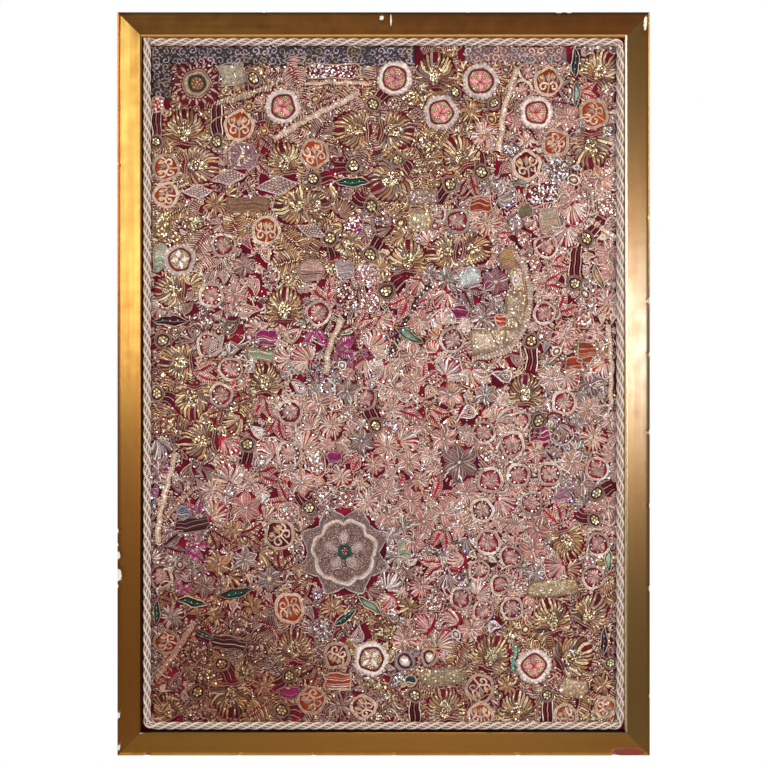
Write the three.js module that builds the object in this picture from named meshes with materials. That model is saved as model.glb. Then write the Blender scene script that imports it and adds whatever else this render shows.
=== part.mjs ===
// A wall hanging: a crazy patchwork of metal-thread embroidery stretched in a flat gilt wood frame,
// with a twisted rope laid along the frame's inner edge.
// Millimetres, +Z up. The face looks along -Y and the back lies in the plane Y = 0.
// The origin is the middle of the top rail's back face.

import * as THREE from 'three';

// Overall size and the flat moulding
const FRAME_WIDTH = 1090;
const FRAME_HEIGHT = 1522;
const FRAME_DEPTH = 38;
const RAIL_WIDTH = 51;
const LIP_WIDTH = 8;
const FACE_SLOPE = 2;
const INNER_BEVEL = 3.5;
const OUTER_ROUND = 2.5;
const OUTER_ROUND_SAG = 0.3;
const MITRE_SETBACK = 0.22;

// Depths are measured from the wall towards the viewer
const GAP = 0.3;
const CLOTH_BACK = 18;
const CLOTH_FACE = 20;
const LIP_BACK = CLOTH_FACE + GAP;
const BOARD_THICKNESS = 6;
const CLOTH_CLEARANCE = 0.5;

// The rope trim: three strands, laid in one length with round corners
const ROPE_RADIUS = 8;
const ROPE_GROOVE_RADIUS = 6.2;
const ROPE_STRANDS = 3;
const ROPE_LEAD = 78;
const ROPE_STEP = 13;
const ROPE_FROM_SIGHT_EDGE = 9;
const ROPE_CORNER_RADIUS = 12;
const ROPE_END_GAP = 0.9;

// The raised ground of the cloth
const GROUND_COLUMNS = 24;
const GROUND_ROWS = 34;
const GROUND_RELIEF = 3;
const GROUND_UNEVENNESS = 0.4;
const GROUND_WAVE_ACROSS = 37;
const GROUND_WAVE_DOWN = 29;
const GROUND_EDGE_MARGIN = 62;

// Braids sewn on edge to edge
const BRAID_WIDTH = 10;
const BRAID_THICKNESS = 3.6;
const BRAID_STEP = 22;
const BRAID_CORNERS = 6;
const BRAID_MARGIN = 22;
const PANEL_THICKNESS = 2.6;
const PANEL_CORNER = 0.2;

// Worked out from the sizes above
const RAIL_TOP = RAIL_WIDTH / 2;
const CENTRE_Z = RAIL_TOP - FRAME_HEIGHT / 2;
const SIGHT_WIDTH = FRAME_WIDTH - 2 * RAIL_WIDTH;
const SIGHT_HEIGHT = FRAME_HEIGHT - 2 * RAIL_WIDTH;
const REBATE_WIDTH = SIGHT_WIDTH + 2 * LIP_WIDTH;
const REBATE_HEIGHT = SIGHT_HEIGHT + 2 * LIP_WIDTH;
const CLOTH_WIDTH = REBATE_WIDTH - 2 * CLOTH_CLEARANCE;
const CLOTH_HEIGHT = REBATE_HEIGHT - 2 * CLOTH_CLEARANCE;
const PATCH_BACK = CLOTH_FACE + GAP;

// Places on the cloth are across and down from the top left corner of the sight edge.
// Thick rings of scalloped braid round a dark red ground with a star of padded petals
const RING_FLOWERS = [
  { across: 287, down: 140, radius: 37, turn: 35 },
  { across: 517, down: 82, radius: 37, turn: 20 },
  { across: 612, down: 152, radius: 37, turn: 25 },
  { across: 693, down: 88, radius: 38, turn: 0 },
  { across: 808, down: 152, radius: 35, turn: 45 },
  { across: 75, down: 455, radius: 34, turn: 10 },
  { across: 468, down: 1275, radius: 37, turn: 40 },
  { across: 803, down: 1290, radius: 37, turn: 15 },
];

// Medallions of couched cord scrolls on an orange or dark red satin
const SCROLL_MEDALLIONS = [
  { across: 197, down: 180, radius: 31, turn: 0 },
  { across: 47, down: 265, radius: 28, turn: 90 },
  { across: 47, down: 322, radius: 26, turn: 90 },
  { across: 352, down: 238, radius: 30, turn: 20 },
  { across: 832, down: 90, radius: 29, turn: 0 },
  { across: 926, down: 155, radius: 30, turn: 60 },
  { across: 848, down: 215, radius: 28, turn: 130 },
  { across: 788, down: 262, radius: 30, turn: 10 },
  { across: 252, down: 395, radius: 29, turn: 0 },
  { across: 280, down: 1020, radius: 31, turn: 45 },
  { across: 300, down: 1170, radius: 31, turn: 200 },
  { across: 48, down: 1240, radius: 26, turn: 80 },
  { across: 398, down: 1268, radius: 27, turn: 150 },
  { across: 347, down: 1360, radius: 29, turn: 120 },
  { across: 453, down: 1375, radius: 25, turn: 60 },
  { across: 692, down: 1335, radius: 29, turn: 210 },
];

// Rosettes of laid thread inside two rounds of cord
const RINGED_ROSETTES = [
  { across: 645, down: 375, radius: 28 },
  { across: 165, down: 425, radius: 26 },
  { across: 140, down: 528, radius: 28 },
  { across: 360, down: 565, radius: 28 },
  { across: 635, down: 620, radius: 28 },
  { across: 828, down: 428, radius: 26 },
  { across: 160, down: 733, radius: 27 },
  { across: 713, down: 908, radius: 29 },
  { across: 835, down: 895, radius: 27 },
  { across: 708, down: 1035, radius: 29 },
];

// Fans of gold fronds round a beaded heart, that point up at a turn of 0 and left at 90
const PALMETTES = [
  { across: 85, down: 185, radius: 42, turn: 0 },
  { across: 600, down: 68, radius: 42, turn: 0 },
  { across: 507, down: 292, radius: 46, turn: 120 },
  { across: 920, down: 228, radius: 42, turn: 180 },
  { across: 180, down: 1358, radius: 40, turn: 180 },
  { across: 885, down: 1268, radius: 42, turn: -60 },
];

const SUNBURST = { across: 110, down: 93, radius: 47 };
const GREAT_ROSETTE = { across: 413, down: 1055, radius: 80 };

// Panels of gold glitter cloth, by their middle
const GLITTER_PANELS = [
  { across: 615, down: 1312, width: 100, height: 36, turn: 5 },
  { across: 845, down: 1130, width: 100, height: 36, turn: 4 },
  { across: 885, down: 1335, width: 56, height: 38, turn: -12 },
  { across: 568, down: 375, width: 50, height: 46, turn: 0 },
];

// The middle line of each braid as pairs of across and down
const BRAIDS = [
  [[152, 131], [190, 124], [230, 109], [262, 101]],
  [[268, 208], [305, 184], [350, 160], [400, 134], [443, 110]],
  [[768, 60], [756, 100], [742, 145], [736, 190], [731, 232]],
  [[765, 440], [786, 480], [795, 520], [793, 562], [779, 600], [752, 636], [715, 652], [678, 658]],
  [[410, 575], [392, 610], [380, 650], [376, 690]],
  [[66, 852], [50, 915], [36, 975], [28, 1040]],
];

// Profiles of the round patches, from the middle of the back, round the rim, to the middle of the
// front. Out is a share of the patch's radius and up is a height.
const RING_FLOWER_PROFILE = [
  { part: 'middle', out: 0, up: 0 },
  { part: 'rim', out: 1, up: 0 },
  { part: 'rim', out: 1, up: 1.8 },
  { part: 'braid', out: 0.85, up: 5 },
  { part: 'braid', out: 0.68, up: 3.4 },
  { part: 'ground', out: 0.63, up: 1.4 },
  { part: 'petals', out: 0.3, up: 2.6 },
  { part: 'middle', out: 0, up: 3.6 },
];
const MEDALLION_PROFILE = [
  { part: 'middle', out: 0, up: 0 },
  { part: 'rim', out: 1, up: 0 },
  { part: 'rim', out: 1, up: 2.2 },
  { part: 'cord', out: 0.9, up: 3.6 },
  { part: 'ground', out: 0.76, up: 1.4 },
  { part: 'scrolls', out: 0.34, up: 2.2 },
  { part: 'middle', out: 0, up: 3 },
];
const ROSETTE_PROFILE = [
  { part: 'middle', out: 0, up: 0 },
  { part: 'rim', out: 1, up: 0 },
  { part: 'rim', out: 1, up: 2.2 },
  { part: 'cord', out: 0.9, up: 3.6 },
  { part: 'ground', out: 0.77, up: 1.6 },
  { part: 'middle', out: 0, up: 3.2 },
];
const PALMETTE_PROFILE = [
  { part: 'middle', out: 0, up: 0 },
  { part: 'rim', out: 1, up: 0 },
  { part: 'rim', out: 1, up: 1.4 },
  { part: 'fronds', out: 0.7, up: 3 },
  { part: 'ground', out: 0.3, up: 2.2 },
  { part: 'heart', out: 0.24, up: 4.4 },
  { part: 'middle', out: 0, up: 5 },
];
const SUNBURST_PROFILE = [
  { part: 'middle', out: 0, up: 0 },
  { part: 'rim', out: 1, up: 0 },
  { part: 'rim', out: 1, up: 1.4 },
  { part: 'petals', out: 0.6, up: 2.4 },
  { part: 'braid', out: 0.5, up: 4.8 },
  { part: 'braid', out: 0.36, up: 3 },
  { part: 'ground', out: 0.26, up: 2.2 },
  { part: 'middle', out: 0, up: 3.8 },
];
const GREAT_ROSETTE_PROFILE = [
  { part: 'middle', out: 0, up: 0 },
  { part: 'rim', out: 1, up: 0 },
  { part: 'rim', out: 1, up: 2.2 },
  { part: 'cord', out: 0.93, up: 5 },
  { part: 'cord', out: 0.83, up: 2.8 },
  { part: 'field', out: 0.56, up: 3.2 },
  { part: 'ring', out: 0.48, up: 5 },
  { part: 'ring', out: 0.38, up: 3 },
  { part: 'heart', out: 0.2, up: 4.6 },
  { part: 'middle', out: 0, up: 5.4 },
];

// How the round patches wave: how many waves go round, and how deep, as a share of the radius
const RING_FLOWER_SCALLOPS = 12;
const RING_FLOWER_SCALLOP_DEPTH = 0.05;
const RING_FLOWER_PETALS = 4;
const RING_FLOWER_PETAL_LIFT = 1.2;
const MEDALLION_SEGMENTS = 14;
const MEDALLION_POINT = 0.06;
const MEDALLION_SCROLLS = 2;
const MEDALLION_SCROLL_LIFT = 0.8;
const ROSETTE_SEGMENTS = 14;
const PALMETTE_FRONDS = 12;
const PALMETTE_FROND_DEPTH = 0.24;
const PALMETTE_FAN = 0.52;
const SUNBURST_PETALS = 20;
const SUNBURST_PETAL_DEPTH = 0.26;
const GREAT_ROSETTE_LOBES = 8;
const GREAT_ROSETTE_LOBE_DEPTH = 0.12;
const GREAT_ROSETTE_LOBE_SEGMENTS = 5;

const giltWood = new THREE.MeshStandardMaterial({ color: 0xb98a45, roughness: 0.38, metalness: 0.6 });
const plainBoard = new THREE.MeshStandardMaterial({ color: 0x8d7355, roughness: 0.85, metalness: 0 });
const redGround = new THREE.MeshStandardMaterial({ color: 0x7a1426, roughness: 0.9, metalness: 0 });
const pinkRope = new THREE.MeshStandardMaterial({ color: 0xc9ab98, roughness: 0.75, metalness: 0 });
const creamBraid = new THREE.MeshStandardMaterial({ color: 0xc4ad98, roughness: 0.65, metalness: 0.1 });
const orangeSatin = new THREE.MeshStandardMaterial({ color: 0xb5561c, roughness: 0.6, metalness: 0 });
const silverRed = new THREE.MeshStandardMaterial({ color: 0xa5676a, roughness: 0.6, metalness: 0.2 });
const goldThread = new THREE.MeshStandardMaterial({ color: 0xa8873f, roughness: 0.4, metalness: 0.7 });
const glitter = new THREE.MeshStandardMaterial({ color: 0xb59d6c, roughness: 0.5, metalness: 0.5 });

const hanging = new THREE.Group();

function addPiece(parent, name, geometry, material) {
  const piece = new THREE.Mesh(geometry, material);
  piece.name = name;
  parent.add(piece);
  return piece;
}

function sightPoint(across, down) {
  return { x: across - SIGHT_WIDTH / 2, z: RAIL_TOP - RAIL_WIDTH - down };
}

function placePatch(piece, { across, down, turn = 0 }) {
  const { x, z } = sightPoint(across, down);
  piece.position.set(x, -PATCH_BACK, z);
  piece.rotation.set(Math.PI, THREE.MathUtils.degToRad(turn) + Math.PI, 0);
}

// One rail of the flat moulding: its section pulled along X and cut back at 45 degrees at both ends
function railGeometry(length) {
  const section = new THREE.Shape();
  section.moveTo(0, 0);
  section.lineTo(0, FRAME_DEPTH - OUTER_ROUND);
  section.lineTo(OUTER_ROUND * OUTER_ROUND_SAG, FRAME_DEPTH - OUTER_ROUND * OUTER_ROUND_SAG);
  section.lineTo(OUTER_ROUND, FRAME_DEPTH);
  section.lineTo(RAIL_WIDTH - INNER_BEVEL, FRAME_DEPTH - FACE_SLOPE);
  section.lineTo(RAIL_WIDTH, FRAME_DEPTH - FACE_SLOPE - INNER_BEVEL);
  section.lineTo(RAIL_WIDTH, LIP_BACK);
  section.lineTo(RAIL_WIDTH - LIP_WIDTH, LIP_BACK);
  section.lineTo(RAIL_WIDTH - LIP_WIDTH, 0);
  const geometry = new THREE.ExtrudeGeometry(section, { depth: 1, bevelEnabled: false });
  const position = geometry.attributes.position;
  for (let i = 0; i < position.count; i += 1) {
    const inward = position.getX(i);
    const depth = position.getY(i);
    const end = position.getZ(i) > 0.5 ? -1 : 1;
    position.setXYZ(i, end * (length / 2 - inward - MITRE_SETBACK), -depth, -inward);
  }
  return geometry;
}

function makeFrame() {
  const rails = [
    { name: 'frame_top', length: FRAME_WIDTH, x: 0, z: RAIL_TOP, turn: 0 },
    { name: 'frame_bottom', length: FRAME_WIDTH, x: 0, z: RAIL_TOP - FRAME_HEIGHT, turn: Math.PI },
    { name: 'frame_left', length: FRAME_HEIGHT, x: -FRAME_WIDTH / 2, z: CENTRE_Z, turn: -Math.PI / 2 },
    { name: 'frame_right', length: FRAME_HEIGHT, x: FRAME_WIDTH / 2, z: CENTRE_Z, turn: Math.PI / 2 },
  ];
  const frame = new THREE.Group();
  for (const { name, length, x, z, turn } of rails) {
    const rail = addPiece(frame, name, railGeometry(length), giltWood);
    rail.position.set(x, 0, z);
    rail.rotation.y = turn;
  }
  return frame;
}

function makeBoard() {
  const geometry = new THREE.BoxGeometry(CLOTH_WIDTH, BOARD_THICKNESS, CLOTH_HEIGHT);
  const board = addPiece(new THREE.Group(), 'backing_board', geometry, plainBoard);
  board.position.set(0, -(CLOTH_BACK - GAP - BOARD_THICKNESS / 2), CENTRE_Z);
  return board;
}

// How far a place lies outside the nearest patch or braid
function clearOfPatches(across, down) {
  const rounds = [
    ...RING_FLOWERS, ...SCROLL_MEDALLIONS, ...RINGED_ROSETTES, ...PALMETTES, SUNBURST, GREAT_ROSETTE,
    ...GLITTER_PANELS.map((panel) => ({ ...panel, radius: panel.width / 2 })),
    ...BRAIDS.flat().map((point) => ({ across: point[0], down: point[1], radius: BRAID_MARGIN })),
  ];
  const gaps = rounds.map((round) => Math.hypot(across - round.across, down - round.down) - round.radius);
  return Math.min(...gaps);
}

// The packed embroidery between the patches stands up in soft lumps, flat under what is sewn on it
function groundLift(across, down) {
  const cell = Math.hypot(CLOTH_WIDTH / GROUND_COLUMNS, CLOTH_HEIGHT / GROUND_ROWS);
  const fromEdge = Math.min(across, down, SIGHT_WIDTH - across, SIGHT_HEIGHT - down);
  if (fromEdge < GROUND_EDGE_MARGIN || clearOfPatches(across, down) < cell) {
    return 0;
  }
  const wave = Math.sin(across / GROUND_WAVE_ACROSS) * Math.cos(down / GROUND_WAVE_DOWN);
  return GROUND_RELIEF * (1 - GROUND_UNEVENNESS * (1 - wave));
}

// The cloth: a raised grid in front, one flat face behind, joined round the edge
function clothGeometry() {
  const points = [];
  const columns = GROUND_COLUMNS + 1;
  for (let row = 0; row <= GROUND_ROWS; row += 1) {
    for (let column = 0; column <= GROUND_COLUMNS; column += 1) {
      const x = CLOTH_WIDTH * (column / GROUND_COLUMNS - 0.5);
      const z = CLOTH_HEIGHT * (0.5 - row / GROUND_ROWS);
      const lift = groundLift(x + SIGHT_WIDTH / 2, SIGHT_HEIGHT / 2 - z);
      points.push([x, -CLOTH_FACE - lift, z]);
    }
  }
  const faces = [];
  for (let row = 0; row < GROUND_ROWS; row += 1) {
    for (let column = 0; column < GROUND_COLUMNS; column += 1) {
      const corner = row * columns + column;
      faces.push([corner, corner + columns, corner + 1]);
      faces.push([corner + 1, corner + columns, corner + columns + 1]);
    }
  }
  const rim = [];
  for (let column = 0; column < GROUND_COLUMNS; column += 1) {
    rim.push(column);
  }
  for (let row = 0; row < GROUND_ROWS; row += 1) {
    rim.push(row * columns + GROUND_COLUMNS);
  }
  for (let column = GROUND_COLUMNS; column > 0; column -= 1) {
    rim.push(GROUND_ROWS * columns + column);
  }
  for (let row = GROUND_ROWS; row > 0; row -= 1) {
    rim.push(row * columns);
  }
  const behind = points.length;
  for (const index of rim) {
    points.push([points[index][0], -CLOTH_BACK, points[index][2]]);
  }
  const middle = points.length;
  points.push([0, -CLOTH_BACK, 0]);
  for (let i = 0; i < rim.length; i += 1) {
    const next = (i + 1) % rim.length;
    faces.push([rim[i], rim[next], behind + i]);
    faces.push([rim[next], behind + next, behind + i]);
    faces.push([behind + i, behind + next, middle]);
  }
  const geometry = new THREE.BufferGeometry();
  geometry.setAttribute('position', new THREE.Float32BufferAttribute(points.flat(), 3));
  geometry.setIndex(faces.flat());
  return geometry;
}

function makeCloth() {
  const cloth = addPiece(new THREE.Group(), 'embroidered_cloth', clothGeometry(), redGround);
  cloth.position.z = CENTRE_Z;
  return cloth;
}

// The rope's middle line: down the left, along the bottom, up the right and back along the top,
// where its end butts against the first length
function ropeLine() {
  const side = SIGHT_WIDTH / 2 - ROPE_FROM_SIGHT_EDGE;
  const top = RAIL_TOP - RAIL_WIDTH - ROPE_FROM_SIGHT_EDGE;
  const bottom = RAIL_TOP - FRAME_HEIGHT + RAIL_WIDTH + ROPE_FROM_SIGHT_EDGE;
  const corner = ROPE_CORNER_RADIUS;
  const quarter = Math.PI / 2;
  const line = new THREE.Path();
  line.moveTo(-side, top + ROPE_FROM_SIGHT_EDGE - ROPE_END_GAP);
  line.lineTo(-side, bottom + corner);
  line.absarc(-side + corner, bottom + corner, corner, 2 * quarter, 3 * quarter, false);
  line.lineTo(side - corner, bottom);
  line.absarc(side - corner, bottom + corner, corner, 3 * quarter, 4 * quarter, false);
  line.lineTo(side, top - corner);
  line.absarc(side - corner, top - corner, corner, 0, quarter, false);
  line.lineTo(-side + ROPE_RADIUS + ROPE_END_GAP, top);
  return line;
}

// A section of crests and grooves that turns along the line, one corner of the section each step
function ropeGeometry() {
  const line = ropeLine();
  const length = line.getLength();
  const sides = 2 * ROPE_STRANDS;
  const steps = Math.round(length / ROPE_STEP);
  const geometry = new THREE.CylinderGeometry(1, 1, 1, sides, steps);
  const position = geometry.attributes.position;
  for (let i = 0; i < position.count; i += 1) {
    const along = 0.5 - position.getY(i);
    const turn = Math.atan2(position.getX(i), position.getZ(i));
    const isCrest = Math.round((turn * sides) / (2 * Math.PI)) % 2 === 0;
    const share = Math.hypot(position.getX(i), position.getZ(i));
    const reach = share * (isCrest ? ROPE_RADIUS : ROPE_GROOVE_RADIUS);
    const angle = turn + (2 * Math.PI * along * length) / ROPE_LEAD;
    const point = line.getPointAt(along);
    const tangent = line.getTangentAt(along);
    const sideways = reach * Math.sin(angle);
    const forward = reach * Math.cos(angle);
    const depth = PATCH_BACK + ROPE_RADIUS + forward;
    position.setXYZ(i, point.x - tangent.y * sideways, -depth, point.y + tangent.x * sideways);
  }
  return geometry;
}

function makeRope() {
  return addPiece(new THREE.Group(), 'rope_trim', ropeGeometry(), pinkRope);
}

// A low round patch: a profile turned round its middle, then shaped point by point. The shape gives
// each point's share of its radius, and what is added to its height.
function wheelGeometry(profile, radius, segments, shape) {
  const points = profile.map(({ out, up }) => new THREE.Vector2(out * radius, up));
  const geometry = new THREE.LatheGeometry(points, segments);
  const position = geometry.attributes.position;
  for (let i = 0; i < position.count; i += 1) {
    const { part } = profile[i % profile.length];
    const angle = (2 * Math.PI * (Math.floor(i / profile.length) % segments)) / segments;
    const { share = 1, lift = 0 } = shape(part, angle);
    position.setXYZ(i, position.getX(i) * share, position.getY(i) + lift, position.getZ(i) * share);
  }
  return geometry;
}

// One full radius at the crest of each wave, and less by the depth between two crests
function wave(count, depth, angle) {
  return 1 - (depth / 2) * (1 - Math.cos(count * angle));
}

function ringFlowerGeometry(radius) {
  return wheelGeometry(RING_FLOWER_PROFILE, radius, 2 * RING_FLOWER_SCALLOPS, (part, angle) => ({
    share: part === 'rim' ? wave(RING_FLOWER_SCALLOPS, RING_FLOWER_SCALLOP_DEPTH, angle) : 1,
    lift: part === 'petals' ? RING_FLOWER_PETAL_LIFT * Math.cos(RING_FLOWER_PETALS * angle) : 0,
  }));
}

function medallionGeometry(radius) {
  return wheelGeometry(MEDALLION_PROFILE, radius, MEDALLION_SEGMENTS, (part, angle) => ({
    share: part === 'rim' ? wave(1, MEDALLION_POINT, angle) : 1,
    lift: part === 'scrolls' ? MEDALLION_SCROLL_LIFT * Math.cos(MEDALLION_SCROLLS * angle) : 0,
  }));
}

function rosetteGeometry(radius) {
  return wheelGeometry(ROSETTE_PROFILE, radius, ROSETTE_SEGMENTS, () => ({}));
}

function palmetteGeometry(radius) {
  return wheelGeometry(PALMETTE_PROFILE, radius, 2 * PALMETTE_FRONDS, (part, angle) => {
    const fan = part === 'rim' || part === 'fronds' ? wave(1, PALMETTE_FAN, angle) : 1;
    const notch = part === 'rim' ? wave(PALMETTE_FRONDS, PALMETTE_FROND_DEPTH, angle) : 1;
    return { share: fan * notch };
  });
}

function sunburstGeometry(radius) {
  return wheelGeometry(SUNBURST_PROFILE, radius, 2 * SUNBURST_PETALS, (part, angle) => ({
    share: part === 'rim' ? wave(SUNBURST_PETALS, SUNBURST_PETAL_DEPTH, angle) : 1,
  }));
}

function greatRosetteGeometry(radius) {
  const segments = GREAT_ROSETTE_LOBES * GREAT_ROSETTE_LOBE_SEGMENTS;
  return wheelGeometry(GREAT_ROSETTE_PROFILE, radius, segments, (part, angle) => {
    const lobe = Math.abs(Math.sin((GREAT_ROSETTE_LOBES * angle) / 2));
    const isOutside = part === 'rim' || part === 'cord';
    return { share: isOutside ? 1 - GREAT_ROSETTE_LOBE_DEPTH * (1 - lobe) : 1 };
  });
}

function panelGeometry(width, height) {
  const corner = height * PANEL_CORNER;
  const outline = new THREE.Shape();
  outline.moveTo(-width / 2 + corner, -height / 2);
  outline.lineTo(width / 2 - corner, -height / 2);
  outline.lineTo(width / 2, -height / 2 + corner);
  outline.lineTo(width / 2, height / 2 - corner);
  outline.lineTo(width / 2 - corner, height / 2);
  outline.lineTo(-width / 2 + corner, height / 2);
  outline.lineTo(-width / 2, height / 2 - corner);
  outline.lineTo(-width / 2, -height / 2 + corner);
  const geometry = new THREE.ExtrudeGeometry(outline, { depth: PANEL_THICKNESS, bevelEnabled: false });
  geometry.rotateX(-Math.PI / 2);
  return geometry;
}

// A flat woven braid: an oval section along its middle line
function braidGeometry(points) {
  const line = new THREE.CatmullRomCurve3(points.map(([across, down]) => {
    const { x, z } = sightPoint(across, down);
    return new THREE.Vector3(x, -(PATCH_BACK + BRAID_THICKNESS / 2), z);
  }));
  const section = new THREE.Shape();
  for (let i = 0; i < BRAID_CORNERS; i += 1) {
    const angle = (2 * Math.PI * (i + 0.5)) / BRAID_CORNERS;
    const deep = (BRAID_THICKNESS / 2) * Math.sign(Math.round(Math.cos(angle) * 2));
    const wide = (BRAID_WIDTH / 2) * Math.sin(angle);
    if (i === 0) {
      section.moveTo(deep, wide);
    } else {
      section.lineTo(deep, wide);
    }
  }
  const steps = Math.round(line.getLength() / BRAID_STEP);
  return new THREE.ExtrudeGeometry(section, { steps, bevelEnabled: false, extrudePath: line });
}

function makePatches() {
  const patches = new THREE.Group();
  const wheels = [
    { name: 'ring_flower', rows: RING_FLOWERS, geometry: ringFlowerGeometry, material: creamBraid },
    { name: 'scroll_medallion', rows: SCROLL_MEDALLIONS, geometry: medallionGeometry, material: orangeSatin },
    { name: 'ringed_rosette', rows: RINGED_ROSETTES, geometry: rosetteGeometry, material: silverRed },
    { name: 'gold_palmette', rows: PALMETTES, geometry: palmetteGeometry, material: goldThread },
  ];
  for (const { name, rows, geometry, material } of wheels) {
    rows.forEach((row, index) => {
      placePatch(addPiece(patches, `${name}_${index + 1}`, geometry(row.radius), material), row);
    });
  }
  placePatch(addPiece(patches, 'sunburst', sunburstGeometry(SUNBURST.radius), goldThread), SUNBURST);
  const great = addPiece(patches, 'great_rosette', greatRosetteGeometry(GREAT_ROSETTE.radius), creamBraid);
  placePatch(great, GREAT_ROSETTE);
  GLITTER_PANELS.forEach((panel, index) => {
    const geometry = panelGeometry(panel.width, panel.height);
    placePatch(addPiece(patches, `glitter_panel_${index + 1}`, geometry, glitter), panel);
  });
  BRAIDS.forEach((points, index) => {
    addPiece(patches, `cream_braid_${index + 1}`, braidGeometry(points), creamBraid);
  });
  return patches;
}

hanging.add(makeFrame(), makeBoard(), makeCloth(), makeRope(), makePatches());

export default hanging;
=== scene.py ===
"""Finishes and fine surface of a framed wall hanging.

A crazy patchwork of metal-thread embroidery is stretched in a flat gilt wood frame, with a twisted
rope along the frame's inner edge. Sizes are millimetres. A place on the cloth is across and down
from the top left corner of the sight edge, and a height is taken from the cloth's flat face.
"""
import copy
import logging
import math
from dataclasses import dataclass, field, replace
from enum import Enum
from functools import lru_cache
from typing import Iterable, Sequence

import bmesh
import bpy
import numpy as np
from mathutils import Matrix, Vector
from mathutils.geometry import tessellate_polygon

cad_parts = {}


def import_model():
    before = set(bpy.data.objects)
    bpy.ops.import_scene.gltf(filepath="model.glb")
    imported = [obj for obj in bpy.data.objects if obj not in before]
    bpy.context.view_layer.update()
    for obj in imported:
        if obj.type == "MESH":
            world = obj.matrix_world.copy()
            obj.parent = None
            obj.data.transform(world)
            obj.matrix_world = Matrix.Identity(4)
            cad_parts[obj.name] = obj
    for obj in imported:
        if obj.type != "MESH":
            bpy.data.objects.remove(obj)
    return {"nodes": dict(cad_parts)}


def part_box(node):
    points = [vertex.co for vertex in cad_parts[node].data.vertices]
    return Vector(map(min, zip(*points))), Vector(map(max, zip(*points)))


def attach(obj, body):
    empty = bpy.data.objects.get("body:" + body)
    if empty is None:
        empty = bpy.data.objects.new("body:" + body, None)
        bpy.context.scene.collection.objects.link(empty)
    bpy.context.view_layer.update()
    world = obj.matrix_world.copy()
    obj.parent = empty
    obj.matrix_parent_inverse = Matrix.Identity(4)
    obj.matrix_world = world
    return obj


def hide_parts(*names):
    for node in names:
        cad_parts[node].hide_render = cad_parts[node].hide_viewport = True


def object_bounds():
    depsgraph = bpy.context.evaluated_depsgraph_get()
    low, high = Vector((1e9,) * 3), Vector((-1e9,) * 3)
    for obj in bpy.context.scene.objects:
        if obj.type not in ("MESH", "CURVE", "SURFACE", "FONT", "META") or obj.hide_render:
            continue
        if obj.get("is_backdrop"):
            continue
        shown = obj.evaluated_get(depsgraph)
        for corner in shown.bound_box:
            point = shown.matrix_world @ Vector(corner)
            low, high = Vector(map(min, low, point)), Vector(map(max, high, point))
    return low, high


Array = np.ndarray
LOG = logging.getLogger("hanging")

MM = 0.001
BODY = "root"
# Each point's colour, with the painted shade between threads and the painted highlights included
SHADED_COLOUR_LAYER = "thread_colour_and_shade"
BARE_AND_BEVEL_LAYER = "bare_wood_and_bevel_light"
WEAVE_LAYER = "rope_weave"

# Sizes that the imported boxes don't show: the part's own, and the rope's lay and place as this
# finish has them, a little different from the plain solid's
CLOTH_THICKNESS = 2.0
PATCH_GAP = 0.3
GROUND_COLUMNS = 24
GROUND_ROWS = 34
ROPE_RADIUS = 8.0
ROPE_STRAND_RADIUS = 7.3
ROPE_GROOVE_RADIUS = 4.6
ROPE_STRANDS = 3
ROPE_LEAD = 74.0
ROPE_FROM_SIGHT_EDGE = 8.5
ROPE_CORNER_RADIUS = 12.0
ROPE_END_GAP = 0.9
RAIL_FACE_SLOPE = 2.0
RAIL_INNER_BEVEL = 3.5
RAIL_OUTER_ROUND = 2.5
RAIL_LIP = 8.0
MITRE_SETBACK = 0.22

# How uneven hand work is: spread of a thread's place in millimetres, and of its brightness
HAND_WOBBLE = 0.3
THREAD_VARIATION = 0.2
STITCH_VARIATION = 0.15
# Painted shade: what is left of a thread's red, green and blue down at its edges, where it meets the red
# ground, so that the grooves between threads are darker and redder
PAINTED_GROOVE_SHADE = np.array([0.38, 0.155, 0.155])


def linear(red: float, green: float, blue: float) -> Array:
    """An sRGB colour out of 255 as linear light."""
    share = np.array([red, green, blue], float) / 255
    return np.where(share <= 0.04045, share / 12.92, ((share + 0.055) / 1.055) ** 2.4)


class Thread(Enum):
    """Threads, beads and cloths by colour, as sRGB out of 255."""

    OLD_GOLD = (188, 149, 102)
    DULL_GOLD = (138, 100, 72)
    BRIGHT_GOLD = (255, 234, 180)
    OCHRE = (148, 104, 58)
    FAWN = (176, 138, 118)
    SHELL = (208, 178, 160)
    ROSE = (206, 168, 152)
    BLUSH = (218, 187, 168)
    CREAM = (222, 196, 172)
    PALE = (255, 237, 210)
    WHITE = (255, 245, 230)
    LACE = (228, 214, 202)
    ASH = (182, 170, 168)
    MIST = (176, 168, 168)
    SLATE = (58, 50, 58)
    SMOKE = (118, 98, 92)
    SOOT = (48, 40, 44)
    MAUVE = (168, 134, 124)
    TAUPE = (166, 142, 126)
    LILAC = (174, 140, 150)
    VIOLET = (144, 112, 120)
    PINK = (240, 158, 158)
    CRIMSON = (150, 24, 46)
    WINE = (104, 14, 34)
    MAROON = (70, 12, 26)
    OXBLOOD = (104, 22, 26)
    RUST = (150, 52, 30)
    ORANGE = (164, 60, 14)
    FLAME = (206, 58, 22)
    PEACH = (222, 166, 112)
    MAGENTA = (156, 28, 96)
    BOTTLE = (24, 74, 56)
    SAGE = (158, 184, 152)
    MINT = (186, 214, 176)
    SEA = (116, 176, 160)
    BLUE = (52, 92, 156)
    SKY = (184, 192, 184)
    LICHEN = (166, 154, 130)
    OLIVE = (122, 112, 82)
    CHAMPAGNE = (178, 152, 120)
    LINEN = (206, 182, 162)

    def __init__(self, red: int, green: int, blue: int) -> None:
        """Keeps the colour as linear light too."""
        self.light = linear(red, green, blue)


@dataclass(frozen=True)
class Palette:
    """The colours that one motif is worked in, each kind of work with its own."""

    ground: Thread
    cord: Thread
    thread: Thread
    light: Thread
    accent: Thread


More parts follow.
